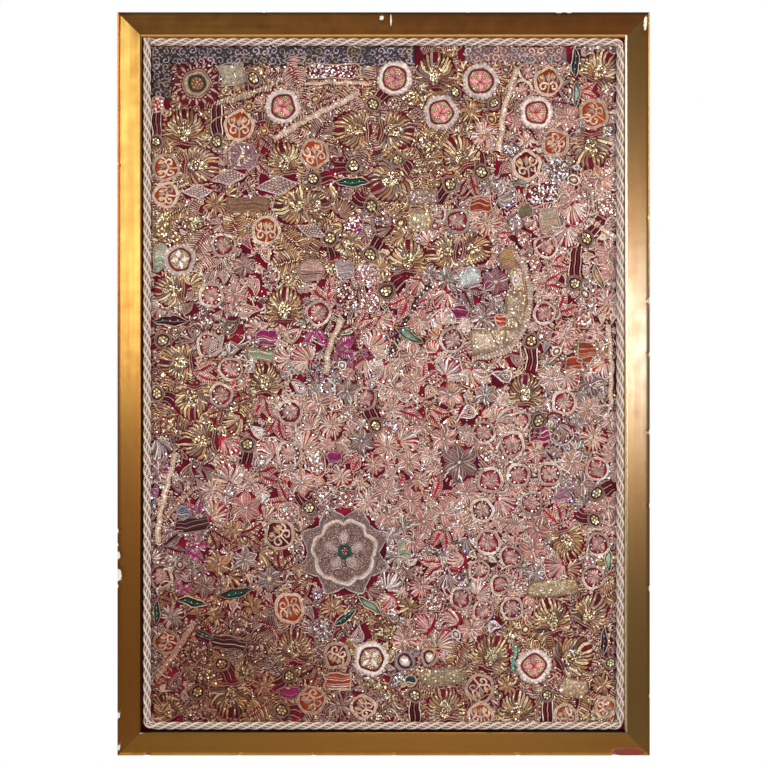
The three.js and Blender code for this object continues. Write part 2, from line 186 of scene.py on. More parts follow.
class Colourway(Enum):
    """The palettes that keep coming back over the hanging."""

    GOLD = Palette(Thread.WINE, Thread.FAWN, Thread.OLD_GOLD, Thread.BRIGHT_GOLD, Thread.OCHRE)
    ROSE = Palette(Thread.CRIMSON, Thread.SHELL, Thread.ROSE, Thread.PALE, Thread.PINK)
    PEARL = Palette(Thread.CRIMSON, Thread.CREAM, Thread.BLUSH, Thread.WHITE, Thread.PEACH)
    SILVER = Palette(Thread.WINE, Thread.ASH, Thread.TAUPE, Thread.WHITE, Thread.SAGE)
    DUSK = Palette(Thread.WINE, Thread.TAUPE, Thread.MAUVE, Thread.CREAM, Thread.OXBLOOD)
    COPPER = Palette(Thread.OXBLOOD, Thread.SHELL, Thread.ROSE, Thread.CREAM, Thread.RUST)
    LILAC = Palette(Thread.MAGENTA, Thread.LILAC, Thread.MAUVE, Thread.PALE, Thread.MAGENTA)


class Finish(Enum):
    """What a stitch, bead or patch is made of, by its place among a piece's materials."""

    METAL = 0
    SILK = 1
    SPANGLE = 2
    GLASS = 3
    SATIN = 4
    GLITTER = 5


class Section(Enum):
    """Cross sections of what is laid on the cloth, as shares of half its width and of its rise."""

    THREAD = ((-1, 0), (0, 1), (1, 0))
    CORD = ((-1, 0), (-0.5, 0.92), (0.5, 0.92), (1, 0))
    PAIR = ((-1, 0), (-0.55, 1), (0, 0.4), (0.55, 1), (1, 0))
    BRAID = ((-1, 0), (-0.8, 0.7), (0, 1), (0.8, 0.7), (1, 0))


class Mound(Enum):
    """Profiles of what is raised inside an outline, as shares of its reach and of its rise."""

    STUD = ((1, 0),)
    BEAD = ((1, 0), (0.8, 0.62))
    PETAL = ((1, 0), (0.72, 0.72), (0.34, 0.96))
    PATCH = ((1, 0), (0.985, 1), (0.55, 1))


@dataclass(frozen=True)
class Place:
    """Where a motif lies on the cloth. A turn is in degrees, counter-clockwise, 0 pointing up."""

    across: float
    down: float
    turn: float = 0.0

    def at(self, local: Array) -> Array:
        """Points right and up of the place's middle as points across and down the cloth.

        Args:
            local: points right and up of the middle

        Returns:
            The same points across and down the cloth.
        """
        angle = math.radians(self.turn)
        right, up = local[..., 0], local[..., 1]
        across = self.across + right * math.cos(angle) - up * math.sin(angle)
        down = self.down - right * math.sin(angle) - up * math.cos(angle)
        return np.stack([across, down], -1)

    def beside(self, right: float, up: float, turn: float = 0.0) -> "Place":
        """Another place, right and up of this one and turned further."""
        across, down = self.at(np.array([right, up], float))
        return Place(float(across), float(down), self.turn + turn)


@dataclass(frozen=True)
class Spot:
    """One row of a table of motifs: its place, its radius and its turn."""

    across: float
    down: float
    radius: float
    turn: float = 0.0

    @property
    def place(self) -> Place:
        """Where the motif lies."""
        return Place(self.across, self.down, self.turn)


def polar(radii: Array, degrees: Array) -> Array:
    """Points at radii and at angles counter-clockwise from straight up."""
    angles = np.radians(degrees)
    return np.stack([-np.sin(angles) * radii, np.cos(angles) * radii], -1)


def all_round(many: int) -> Array:
    """So many angles evenly spaced over a whole turn, from 0."""
    return np.linspace(0, 360, many, endpoint=False)


def circle(radius: float, corners: int) -> Array:
    """Corners of a circle round the middle, in order."""
    return polar(np.full(corners, radius), all_round(corners))


def turned(shape: Array, degrees: Array) -> Array:
    """Copies of a shape turned round the middle, counter-clockwise, one for each angle.

    Args:
        shape: points right and up of the middle
        degrees: the angle of each copy

    Returns:
        An array of copies by points by two.
    """
    angles = np.radians(np.asarray(degrees, float))[:, None]
    right, up = shape[:, 0], shape[:, 1]
    return np.stack([right * np.cos(angles) - up * np.sin(angles),
                     right * np.sin(angles) + up * np.cos(angles)], -1)


def arc(radius: float, start: float, end: float, stations: int) -> Array:
    """Stations along a circle's arc, from one angle to another."""
    return polar(np.full(stations, radius), np.linspace(start, end, stations))


def spiral(inner: float, outer: float, start: float, turns: float, stations: int) -> Array:
    """Stations along a spiral that opens from an inner to an outer radius."""
    share = np.linspace(0, 1, stations)
    return polar(inner + (outer - inner) * share, start + 360 * turns * share)


def spokes(inner: float, outer: Array, degrees: Array, curl: Array = 0.0, stations: int = 5) -> Array:
    """Curved lines from the middle outwards.

    Args:
        inner: where the lines start, from the middle
        outer: where each line ends
        degrees: each line's angle
        curl: how far each line turns on its way out, in degrees
        stations: points along each line

    Returns:
        An array of lines by stations by two.
    """
    share = np.linspace(0, 1, stations)
    degrees = np.asarray(degrees, float)
    outer = np.broadcast_to(outer, degrees.shape)[:, None]
    curl = np.broadcast_to(curl, degrees.shape)[:, None]
    return polar(inner + (outer - inner) * share, degrees[:, None] + curl * share**2)


def curve(points: Sequence[tuple[float, float]], spacing: float) -> Array:
    """A smooth line through given points, with stations at an even spacing.

    Args:
        points: the points that the line runs through
        spacing: how far apart its stations are

    Returns:
        The stations, in order.
    """
    knots = np.array(points, float)
    ends = np.concatenate([[2 * knots[0] - knots[1]], knots, [2 * knots[-1] - knots[-2]]])
    share = np.linspace(0, 1, 12, endpoint=False)[:, None]
    runs = []
    for before, start, end, after in zip(ends, ends[1:], ends[2:], ends[3:]):
        runs.append(0.5 * (2 * start + (end - before) * share
                           + (2 * before - 5 * start + 4 * end - after) * share**2
                           + (3 * start - before - 3 * end + after) * share**3))
    dense = np.concatenate([*runs, knots[-1:]])
    return evenly(dense, spacing)


def evenly(line: Array, spacing: float) -> Array:
    """The same line with stations about one spacing apart.

    Args:
        line: points along the line
        spacing: how far apart its stations are

    Returns:
        The stations, in order.
    """
    steps = np.linalg.norm(np.diff(line, axis=0), axis=1)
    reached = np.concatenate([[0], np.cumsum(steps)])
    wanted = np.linspace(0, reached[-1], max(2, round(reached[-1] / spacing) + 1))
    return np.stack([np.interp(wanted, reached, line[:, i]) for i in range(line.shape[1])], -1)


def leaf_outline(length: float, width: float, corners: int = 12) -> Array:
    """The outline of a leaf that stands up from its place and ends in a point.

    Args:
        length: its length, from foot to tip
        width: its width where it is widest
        corners: how many corners the outline has

    Returns:
        The corners, in order from the foot.
    """
    half = corners // 2
    share = np.linspace(0, 1, half + 1)
    aside = width / 2 * np.sin(np.pi * share) ** 0.8 * (1.12 - 0.24 * share)
    right = np.stack([aside, length * share], -1)
    left = right[-2:0:-1] * (-1, 1)
    return np.concatenate([right, left])


@dataclass(frozen=True)
class Hanging:
    """The hanging's sizes in millimetres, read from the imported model."""

    width: float
    height: float
    depth: float
    rail: float
    top: float
    face: float

    @classmethod
    def measured(cls) -> "Hanging":
        """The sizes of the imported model.

        Returns:
            The sizes in millimetres.
        """
        low, high = (np.array(corner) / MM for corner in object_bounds())
        rail_low, rail_high = (np.array(corner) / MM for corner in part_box("frame_left"))
        cloth_high = np.array(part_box("embroidered_cloth")[1]) / MM
        width, depth, height = high - low
        return cls(width, height, depth, (rail_high - rail_low)[0], high[2],
                   CLOTH_THICKNESS - cloth_high[1])

    @property
    def sight(self) -> tuple[float, float]:
        """Width and height of the opening inside the frame."""
        return self.width - 2 * self.rail, self.height - 2 * self.rail

    @property
    def middle(self) -> float:
        """Height of the hanging's middle."""
        return self.top - self.height / 2

    def world(self, across: Array, down: Array, depth: Array) -> Array:
        """Places on the cloth at depths from the wall, as points in metres.

        Args:
            across: places across the cloth
            down: places down the cloth
            depth: how far out from the wall

        Returns:
            The points in metres.
        """
        x = across - self.sight[0] / 2
        z = self.top - self.rail - down
        return np.stack([x, -depth, z], -1) * MM


@dataclass(frozen=True)
class Pucker:
    """How the cloth draws in and swells under the stitches, as soft waves in millimetres."""

    sideways: float = 2.0
    swell: float = 1.4
    waves: tuple[tuple[float, float, float], ...] = ((6.1, 23.0, 0.0), (5.2, 17.0, 2.1), (9.3, 31.0, 4.0))

    def wave(self, index: int, along: Array, aside: Array) -> Array:
        """One soft wave over the cloth, from minus one to one.

        Args:
            index: which of the waves
            along: places the way the wave runs
            aside: places across its way

        Returns:
            The wave at each place.
        """
        length, bend, start = self.waves[index]
        return 0.6 * np.sin(along / length + 2 * np.sin(aside / bend) + start) + 0.4 * np.sin(
            (along + aside) / (1.7 * length) + start)

    def drawn(self, across: Array, down: Array) -> tuple[Array, Array]:
        """Places on the cloth, moved as the stitches draw them."""
        return (across + self.sideways * self.wave(0, down, across),
                down + self.sideways * self.wave(1, across, down))

    def raised(self, across: Array, down: Array) -> Array:
        """How far the work stands up by its padding."""
        return self.swell * (0.5 + 0.5 * self.wave(2, across, down))


@dataclass(frozen=True)
class Darkening:
    """A place round which the work is darker and redder: its middle, its spread, and what is left of a tint.
    """

    across: float
    down: float
    spread: float
    left: tuple[float, float, float]

    def tint(self, across: Array, down: Array) -> Array:
        """What is left of red, green and blue at places on the cloth."""
        share = np.exp(-((across - self.across) ** 2 + (down - self.down) ** 2) / self.spread**2)
        return 1 - share[:, None] * (1 - np.array(self.left))


DARKENINGS = (
    Darkening(60, 1360, 230, (0.72, 0.54, 0.46)), Darkening(250, 1340, 160, (0.8, 0.68, 0.6)),
    Darkening(30, 40, 170, (0.8, 0.74, 0.74)), Darkening(120, 1180, 150, (0.86, 0.78, 0.74)))


@dataclass(frozen=True)
class Ground:
    """The lumpy face of the cloth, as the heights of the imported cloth's own grid."""

    hanging: Hanging
    lifts: Array
    corner: Array
    step: Array

    @classmethod
    def of_cloth(cls, hanging: Hanging, node: bpy.types.Object) -> "Ground":
        """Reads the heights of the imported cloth's front.

        Args:
            hanging: the hanging's sizes
            node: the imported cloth

        Returns:
            The face of the cloth.
        """
        points = np.empty(len(node.data.vertices) * 3)
        node.data.vertices.foreach_get("co", points)
        points = points.reshape(-1, 3) / MM
        low, high = points.min(0), points.max(0)
        step = (high - low)[[0, 2]] / (GROUND_COLUMNS, GROUND_ROWS)
        front = points[-points[:, 1] > hanging.face - CLOTH_THICKNESS / 2]
        columns = np.round((front[:, 0] - low[0]) / step[0]).astype(int)
        rows = np.round((high[2] - front[:, 2]) / step[1]).astype(int)
        lifts = np.zeros((GROUND_ROWS + 1, GROUND_COLUMNS + 1))
        lifts[rows, columns] = -front[:, 1] - hanging.face
        corner = np.array([low[0] + hanging.sight[0] / 2, hanging.top - hanging.rail - high[2]])
        return cls(hanging, lifts, corner, step)

    def lift(self, across: Array, down: Array) -> Array:
        """How far the cloth's face stands out of its flat plane at places on it.

        Args:
            across: places across the cloth
            down: places down the cloth

        Returns:
            The height at each place.
        """
        column = np.clip((across - self.corner[0]) / self.step[0], 0, GROUND_COLUMNS - 1e-6)
        row = np.clip((down - self.corner[1]) / self.step[1], 0, GROUND_ROWS - 1e-6)
        left, above = column.astype(int), row.astype(int)
        aside, below = column - left, row - above
        upper = self.lifts[above, left] * (1 - aside) + self.lifts[above, left + 1] * aside
        lower = self.lifts[above + 1, left] * (1 - aside) + self.lifts[above + 1, left + 1] * aside
        return upper * (1 - below) + lower * below

    def from_edge(self, across: Array, down: Array) -> Array:
        """How far places lie inside the sight edge."""
        width, height = self.hanging.sight
        return np.minimum.reduce([across, width - across, down, height - down])

    def room_under_rope(self, from_edge: Array) -> Array:
        """How high work may stand before it meets the rope that lies over it.

        Args:
            from_edge: how far places lie inside the sight edge

        Returns:
            The height at each place, without end clear of the rope.
        """
        off_centre = np.clip(from_edge - ROPE_FROM_SIGHT_EDGE, 0, ROPE_RADIUS)
        clear = PATCH_GAP + ROPE_RADIUS - np.sqrt(ROPE_RADIUS**2 - off_centre**2)
        return np.where(from_edge < ROPE_FROM_SIGHT_EDGE + ROPE_RADIUS, clear, np.inf)


def new_object(name: str, points: Array, faces: Array, materials: Sequence[bpy.types.Material],
               picks: Array | None = None) -> bpy.types.Object:
    """Makes a smooth mesh object of triangles.

    Args:
        name: the object's name
        points: its points in metres
        faces: its triangles
        materials: its material slots
        picks: each triangle's place among the slots

    Returns:
        The object, in the scene.
    """
    mesh = bpy.data.meshes.new(name)
    mesh.vertices.add(len(points))
    mesh.vertices.foreach_set("co", np.ascontiguousarray(points, np.float32).ravel())
    mesh.loops.add(faces.size)
    mesh.loops.foreach_set("vertex_index", np.ascontiguousarray(faces, np.int32).ravel())
    mesh.polygons.add(len(faces))
    mesh.polygons.foreach_set("loop_start", np.arange(0, faces.size, 3, dtype=np.int32))
    for material in materials:
        mesh.materials.append(material)
    if picks is not None:
        mesh.polygons.foreach_set("material_index", picks.astype(np.int32))
    mesh.update(calc_edges=True)
    mesh.shade_smooth()
    made = bpy.data.objects.new(name, mesh)
    bpy.context.scene.collection.objects.link(made)
    return made


def paint(made: bpy.types.Object, layer: str, colours: Array) -> None:
    """Stores a colour for each point of an object's mesh.

    Args:
        made: the object
        layer: the layer's name
        colours: a colour for each point
    """
    painted = made.data.color_attributes.new(name=layer, type="FLOAT_COLOR", domain="POINT")
    opaque = np.concatenate([colours, np.ones((len(colours), 1))], 1)
    painted.data.foreach_set("color", opaque.astype(np.float32).ravel())


def face_outwards(made: bpy.types.Object, crease: float | None = None) -> None:
    """Turns a closed mesh's faces outwards and keeps edges sharper than the crease crisp.

    Args:
        made: the object
        crease: the angle in degrees, or nothing to keep every edge soft
    """
    shell = bmesh.new()
    shell.from_mesh(made.data)
    bmesh.ops.recalc_face_normals(shell, faces=shell.faces)
    shell.to_mesh(made.data)
    shell.free()
    if crease is not None:
        made.data.set_sharp_from_angle(angle=math.radians(crease))


def seat(made: bpy.types.Object, slot: str, nodes: Iterable[str] = ()) -> bpy.types.Object:
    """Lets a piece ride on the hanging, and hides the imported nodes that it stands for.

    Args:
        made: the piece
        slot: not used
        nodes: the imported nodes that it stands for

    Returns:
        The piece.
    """
    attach(made, BODY)
    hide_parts(*nodes)
    LOG.info("%s: %d triangles", made.name, len(made.data.polygons))
    return made


def halved(quads: Array) -> Array:
    """Four-cornered faces cut into triangles, all the first halves before the second ones."""
    return np.concatenate([quads[:, :3], quads[:, [0, 2, 3]]])


@lru_cache(maxsize=None)
def mound_faces(rings: int, corners: int) -> Array:
    """Triangles of one mound: bands from its rim inwards, then a fan round its middle.

    Args:
        rings: how many rings its profile has
        corners: how many corners a ring has

    Returns:
        The triangles, by the numbers of their points.
    """
    here = np.arange(corners)
    then = (here + 1) % corners
    faces = []
    for ring in range(rings - 1):
        outer, inner = ring * corners, (ring + 1) * corners
        faces.append(np.stack([inner + here, inner + then, outer + then], -1))
        faces.append(np.stack([inner + here, outer + then, outer + here], -1))
    last = (rings - 1) * corners
    middle = np.full(corners, rings * corners)
    faces.append(np.stack([middle, last + then, last + here], -1))
    return np.concatenate(faces)


class Stitchery:
    """The threads, beads and cloth of one piece, gathered as arrays and joined into one mesh."""

    def __init__(self, ground: Ground, seed: int) -> None:
        """Starts a piece of work on the cloth, with its own run of random draws.

        Args:
            ground: the face of the cloth
            seed: the number that starts the draws
        """
        self.ground = ground
        self.rng = np.random.default_rng(seed)
        self.points: list[Array] = []
        self.colours: list[Array] = []
        self.faces: list[Array] = []
        self.picks: list[Array] = []
        self.count = 0

    def add(self, points: Array, colours: Array, faces: Array, finish: Finish) -> None:
        """Adds points, given across, down and up, with their colours and faces.

        Args:
            points: across, down and up of each point
            colours: a colour for each point
            faces: faces of three or four corners
            finish: what they are made of
        """
        if faces.shape[1] == 4:
            faces = halved(faces)
        self.points.append(points.reshape(-1, 3))
        self.colours.append(colours.reshape(-1, 3))
        self.faces.append(faces + self.count)
        self.picks.append(np.full(len(faces), finish.value))
        self.count += self.points[-1].shape[0]

    def varied(self, colour: Thread | Array, many: int, each: int) -> Array:
        """A colour for each point of several stitches, uneven as dyed and worn thread is.

        Args:
            colour: a thread, or colours for the stitches
            many: how many stitches
            each: how many points a stitch has

        Returns:
            An array of stitches by points by three.
        """
        base = colour.light if isinstance(colour, Thread) else np.asarray(colour, float)
        base = base if base.ndim == 3 else base.reshape(-1, 1, 3)
        stitch = self.rng.normal(1, THREAD_VARIATION, (many, 1, 1))
        point = self.rng.normal(1, STITCH_VARIATION, (many, each, 1))
        return np.clip(base * stitch * point, 0, 1)

    def couch(self, lines: Array, width: float | Array, rise: float | Array, colour: Thread | Array,
              section: Section = Section.THREAD, finish: Finish = Finish.METAL, base: float = 0.0,
              closed: bool = False) -> None:
        """Lays threads, cords or strips along lines.

        Args:
            lines: one line, or several with the same number of stations
            width: the width, for all, for each line or for each station
            rise: the height of the crest over the base
            colour: a thread, or a colour for each line or each station
            section: the cross section
            finish: what it is made of
            base: where it starts, over the cloth's face
            closed: whether each line runs back into its start
        """
        lines = lines[None] if lines.ndim == 2 else lines
        many, stations = lines.shape[:2]
        lines = lines + self.rng.normal(0, HAND_WOBBLE, lines.shape)
        along = (np.roll(lines, -1, 1) - np.roll(lines, 1, 1)) if closed else np.gradient(lines, axis=1)
        along = along / np.maximum(np.linalg.norm(along, axis=2, keepdims=True), 1e-9)
        aside = np.stack([-along[..., 1], along[..., 0]], -1)
        shape = np.array(section.value, float)
        width = np.broadcast_to(width, (many, stations))
        rise = np.broadcast_to(rise, (many, stations)).copy()
        if not closed:
            rise[:, [0, -1]] = 0
        spread = lines[:, :, None] + aside[:, :, None] * (width[..., None, None] / 2 * shape[:, :1])
        height = base + rise[..., None] * shape[:, 1]
        sides = len(shape)
        first = np.arange(many)[:, None, None] * stations * sides
        here = np.arange(stations if closed else stations - 1)[:, None]
        near = first + here * sides + np.arange(sides - 1)
        far = first + (here + 1) % stations * sides + np.arange(sides - 1)
        shades = self.varied(colour, many, stations)[:, :, None]
        # Painted shade: each side of a thread darker and redder down towards the cloth
        shades = shades * (PAINTED_GROOVE_SHADE + (1 - PAINTED_GROOVE_SHADE) * shape[:, 1:])
        faces = np.stack([near, near + 1, far + 1, far], -1).reshape(-1, 4)
        self.add(np.concatenate([spread, height[..., None]], -1), shades, faces, finish)

    def raise_mounds(self, outlines: Array, mound: Mound, rise: float | Array, colour: Thread | Array,
                     finish: Finish, base: float = 0.0) -> None:
        """Raises beads, padded petals or flat patches inside outlines.

        Args:
            outlines: one closed outline, or several with the same number of corners
            mound: the profile
            rise: the height of the middle over the base, for all or for each
            colour: a thread, or a colour for each
            finish: what they are made of
            base: where they start, over the cloth's face
        """
        outlines = outlines[None] if outlines.ndim == 2 else outlines
        if not len(outlines):
            return
        first = outlines[0]
        following = np.roll(first, -1, 0)
        if (first[:, 0] * following[:, 1] - first[:, 1] * following[:, 0]).sum() < 0:
            outlines = outlines[:, ::-1]
        many, corners = outlines.shape[:2]
        profile = np.array(mound.value, float)
        middle = outlines.mean(1)
        rings = middle[:, None, None] + (outlines - middle[:, None])[:, None] * profile[:, :1, None]
        rise = np.broadcast_to(rise, (many,))
        height = base + rise[:, None, None] * profile[:, 1:] * np.ones(corners)
        ringed = np.concatenate([rings, height[..., None]], -1).reshape(many, -1, 3)
        peaks = np.concatenate([middle, (base + rise)[:, None]], -1)[:, None]
        points = np.concatenate([ringed, peaks], 1)
        each = points.shape[1]
        # Painted shade: each mound darker and redder down towards its rim
        shade = np.repeat(PAINTED_GROOVE_SHADE + (1 - PAINTED_GROOVE_SHADE) * profile[:, 1:], corners, 0)
        shade = np.concatenate([shade, np.ones((1, 3))])
        faces = mound_faces(len(profile), corners)[None] + np.arange(many)[:, None, None] * each
        colours = self.varied(colour, many, each) * shade
        self.add(points, colours, faces.reshape(-1, 3), finish)

    def spangles(self, spots: Array, radius: float, colour: Thread | Array, base: float = 1.4,
                 tilt: float = 9.0) -> None:
        """Sews sequins, each tilted at random.

        Args:
            spots: where they are sewn
            radius: their mean radius
            colour: a thread, or a colour for each
            base: how high they lie over the cloth
            tilt: the spread of their tilt in degrees
        """
        spots = spots.reshape(-1, 2)
        many, corners = len(spots), 6
        spin = self.rng.uniform(0, 60, many)
        angles = np.radians(spin[:, None] + all_round(corners))
        reach = radius * self.rng.uniform(0.85, 1.15, (many, 1))
        rim = np.stack([np.cos(angles) * reach, np.sin(angles) * reach], -1)
        lean = np.tan(np.radians(self.rng.normal(0, tilt, (many, 1, 2))))
        height = base + (rim * lean).sum(-1) + self.rng.uniform(0, 0.5, (many, 1))
        points = np.concatenate([spots[:, None] + rim, height[..., None]], -1)
        fan = np.array([[0, 2, 1], [0, 3, 2], [0, 4, 3], [0, 5, 4]])
        faces = fan[None] + np.arange(many)[:, None, None] * corners
        self.add(points, self.varied(colour, many, corners), faces.reshape(-1, 3), Finish.SPANGLE)

    def join(self, name: str, materials: Sequence[bpy.types.Material]) -> bpy.types.Object:
        """Makes the piece, leaving out what the rope and the frame's lip would hide.

        Args:
            name: the piece's name
            materials: one material for each finish, in the order of Finish

        Returns:
            The piece, not yet seated.
        """
        points = np.concatenate(self.points)
        colours = np.concatenate(self.colours)
        faces = np.concatenate(self.faces)
        picks = np.concatenate(self.picks)
        across, down, height = points.T
        pucker = Pucker()
        across, down = pucker.drawn(across, down)
        height = height + pucker.raised(across, down)
        from_edge = self.ground.from_edge(across, down)
        height = np.minimum(height, self.ground.room_under_rope(from_edge) - 0.1)
        hidden = from_edge < ROPE_FROM_SIGHT_EDGE + 2
        keep = ~hidden[faces].all(1)
        faces, picks = faces[keep], picks[keep]
        depth = self.ground.hanging.face + self.ground.lift(across, down) + np.maximum(height, 0.02)
        used = np.unique(faces)
        place = np.zeros(len(points), int)
        place[used] = np.arange(len(used))
        world = self.ground.hanging.world(across[used], down[used], depth[used])
        made = new_object(name, world, place[faces], materials, picks)
        # Darker and redder round each of the places listed above, most of all towards the bottom left
        darkened_colours = colours[used]
        for darkening in DARKENINGS:
            darkened_colours = darkened_colours * darkening.tint(across[used], down[used])
        paint(made, SHADED_COLOUR_LAYER, darkened_colours)
        return made


class Value:
    """A shader socket that takes part in arithmetic and adds its Math nodes as it goes."""

    def __init__(self, bench: "Bench", socket: bpy.types.NodeSocket) -> None:
        """Wraps a socket of a material on the bench."""
        self.bench = bench
        self.socket = socket

    def __add__(self, other: "Value | float") -> "Value":
        """Sum."""
        return self.bench.math("ADD", self, other)

    def __mul__(self, other: "Value | float") -> "Value":
        """Product."""
        return self.bench.math("MULTIPLY", self, other)

    def __sub__(self, other: "Value | float") -> "Value":
        """Difference."""
        return self.bench.math("SUBTRACT", self, other)

    def __rsub__(self, other: float) -> "Value":
        """Difference from a number."""
        return self.bench.math("SUBTRACT", other, self)

    __radd__ = __add__
    __rmul__ = __mul__


class Bench:
    """One material being made: its nodes, its Principled shader and its textures."""

    def __init__(self, name: str) -> None:
        """Starts an empty material.

        Args:
            name: the material's name
        """
        self.material = bpy.data.materials.new(name)
        self.material.use_nodes = True
        self.tree = self.material.node_tree
        self.tree.nodes.clear()
        output = self.tree.nodes.new("ShaderNodeOutputMaterial")
        self.shader = self.tree.nodes.new("ShaderNodeBsdfPrincipled")
        self.tree.links.new(self.shader.outputs["BSDF"], output.inputs["Surface"])
        self.where = self.node("ShaderNodeTexCoord")["Object"]

    def plug(self, socket: bpy.types.NodeSocket, value: "Value | float | Sequence[float]") -> None:
        """Links a value to a socket, or sets it there if it is a constant.

        Args:
            socket: an input socket
            value: a value to link, or a constant to set
        """
        if isinstance(value, Value):
            self.tree.links.new(value.socket, socket)
        else:
            socket.default_value = value

    def node(self, kind: str, settings: dict | None = None, sockets: dict | None = None) -> dict:
        """Adds a node.

        Args:
            kind: the node's type
            settings: its own settings; stops are a ramp's places and colours
            sockets: values or links of its input sockets

        Returns:
            Its enabled output sockets by name.
        """
        made = self.tree.nodes.new(kind)
        for key, setting in (settings or {}).items():
            if key == "stops":
                self.set_stops(made, setting)
            else:
                setattr(made, key, setting)
        for key, value in (sockets or {}).items():
            self.plug(made.inputs[key], value)
        return {socket.name: Value(self, socket) for socket in made.outputs if socket.enabled}

    @staticmethod
    def set_stops(ramp: bpy.types.Node, stops: Sequence[tuple[float, Sequence[float]]]) -> None:
        """Gives a ramp its places and colours.

        Args:
            ramp: the ramp's node
            stops: places from nothing to one, each with its colour
        """
        elements = ramp.color_ramp.elements
        for index, (place, colour) in enumerate(stops):
            element = elements[index] if index < 2 else elements.new(place)
            element.position = place
            element.color = (*colour, 1.0)

    def math(self, operation: str, first: "Value | float", second: "Value | float") -> Value:
        """Adds a Math node."""
        return self.node("ShaderNodeMath", {"operation": operation}, {0: first, 1: second})["Value"]

    def mix(self, factor: "Value | float", first: "Value | Sequence[float]",
            second: "Value | Sequence[float]", blend: str = "MIX") -> Value:
        """Mixes two colours."""
        sockets = {0: factor, 6: self.coloured(first), 7: self.coloured(second)}
        return self.node("ShaderNodeMix", {"data_type": "RGBA", "blend_type": blend}, sockets)["Result"]

    def toned(self, colour: Value, share: Value, dark: Sequence[float],
              light: Sequence[float]) -> Value:
        """A colour multiplied by a tone that a share takes from a dark to a light one."""
        return self.mix(1.0, colour, self.mix(share, dark, light), "MULTIPLY")

    @staticmethod
    def coloured(value: "Value | Sequence[float]") -> "Value | tuple[float, ...]":
        """A colour socket's value, opaque where it is a constant."""
        return value if isinstance(value, Value) else (*tuple(float(x) for x in value), 1.0)

    def noise(self, scale: float, detail: float = 2.0, where: Value | None = None) -> Value:
        """Adds soft noise of so many grains to the metre."""
        sockets = {"Vector": where or self.where, "Scale": scale, "Detail": detail}
        return self.node("ShaderNodeTexNoise", {}, sockets)["Fac"]

    def stretched(self, scale: Sequence[float]) -> Value:
        """The place on the object, stretched along its axes."""
        sockets = {"Vector": self.where, "Scale": scale}
        return self.node("ShaderNodeMapping", {}, sockets)["Vector"]

    def ramp(self, value: Value, stops: Sequence[tuple[float, Sequence[float]]]) -> Value:
        """Adds a colour ramp."""
        return self.node("ShaderNodeValToRGB", {"stops": stops}, {"Fac": value})["Color"]

    def step(self, value: Value, low: float, high: float) -> Value:
        """Nothing below a low value, one above a high one, and smooth between."""
        sockets = {"Value": value, "From Min": low, "From Max": high}
        return self.node("ShaderNodeMapRange", {"interpolation_type": "SMOOTHSTEP"}, sockets)["Result"]

    def painted(self, layer: str) -> dict:
        """The colour stored in a mesh's layer."""
        return self.node("ShaderNodeAttribute", {"attribute_name": layer})

    def bump(self, height: Value, strength: float, distance: float) -> None:
        """Makes the surface uneven by a height in shares of a distance in millimetres."""
        sockets = {"Height": height, "Strength": strength, "Distance": distance * MM}
        self.set(Normal=self.node("ShaderNodeBump", {}, sockets)["Normal"])

    def set(self, **sockets: "Value | float | Sequence[float]") -> None:
        """Sets or links sockets of the shader, their names with underscores for spaces."""
        for key, value in sockets.items():
            self.plug(self.shader.inputs[key.replace("_", " ")], value)


@dataclass(frozen=True)
class StitchFinish:
    """The finish of thread, bead or patch whose colour is stored with each stitch."""

    name: str
    metallic: float
    roughness: float
    grain: float
    relief: float
    tone: float = 0.42
    coat: float = 0.0
    gloss: float = 0.5
    dirt: tuple[float, float, float] = (0.62, 0.58, 0.54)

    def dress(self) -> bpy.types.Material:
        """Makes the material.

        Returns:
            The material.
        """
        bench = Bench(self.name)
        colour = bench.painted(SHADED_COLOUR_LAYER)["Color"]
        # The fine speckle lightens and darkens the colour: partly the thread's uneven tone, partly painted
        # glints and painted shade of its twist
        fine = bench.step(bench.noise(self.grain, 3.0), 0.33, 0.67)
        broad = bench.noise(self.grain / 9, 2.0)
        colour = bench.toned(colour, fine, [1 - self.tone] * 3, [1 + self.tone] * 3)
        colour = bench.toned(colour, broad, self.dirt, [1.25] * 3)
        bench.set(Base_Color=colour, Metallic=self.metallic, Coat_Weight=self.coat)
        bench.set(Specular_IOR_Level=self.gloss)
        bench.set(Roughness=fine * 0.24 + (self.roughness - 0.12))
        bench.bump(fine, 0.6, self.relief)
        return bench.material


@dataclass(frozen=True)
class GlitterFinish:
    """Cloth packed with tiny flakes, each with a colour and a lean of its own."""

    name: str = "glitter_cloth"
    flakes: float = 520.0

    def dress(self) -> bpy.types.Material:
        """Makes the material.

        Returns:
            The material.
        """
        bench = Bench(self.name)
        colour = bench.painted(SHADED_COLOUR_LAYER)["Color"]
        sockets = {"Vector": bench.where, "Scale": self.flakes}
        cells = bench.node("ShaderNodeTexVoronoi", {}, sockets)
        grey = bench.node("ShaderNodeSeparateColor", {}, {"Color": cells["Color"]})
        bright = bench.ramp(grey["Red"], [(0.0, (0.35, 0.33, 0.3)), (0.55, (0.9, 0.9, 0.9)),
                                          (0.8, (1.0, 1.0, 1.0)), (0.92, (1.4, 1.36, 1.28))])
        bench.set(Base_Color=bench.mix(1.0, colour, bright, "MULTIPLY"), Metallic=0.5)
        bench.set(Roughness=grey["Green"] * 0.4 + 0.25)
        bench.bump(grey["Blue"] + cells["Distance"] * 0.5, 0.8, 0.5)
        return bench.material


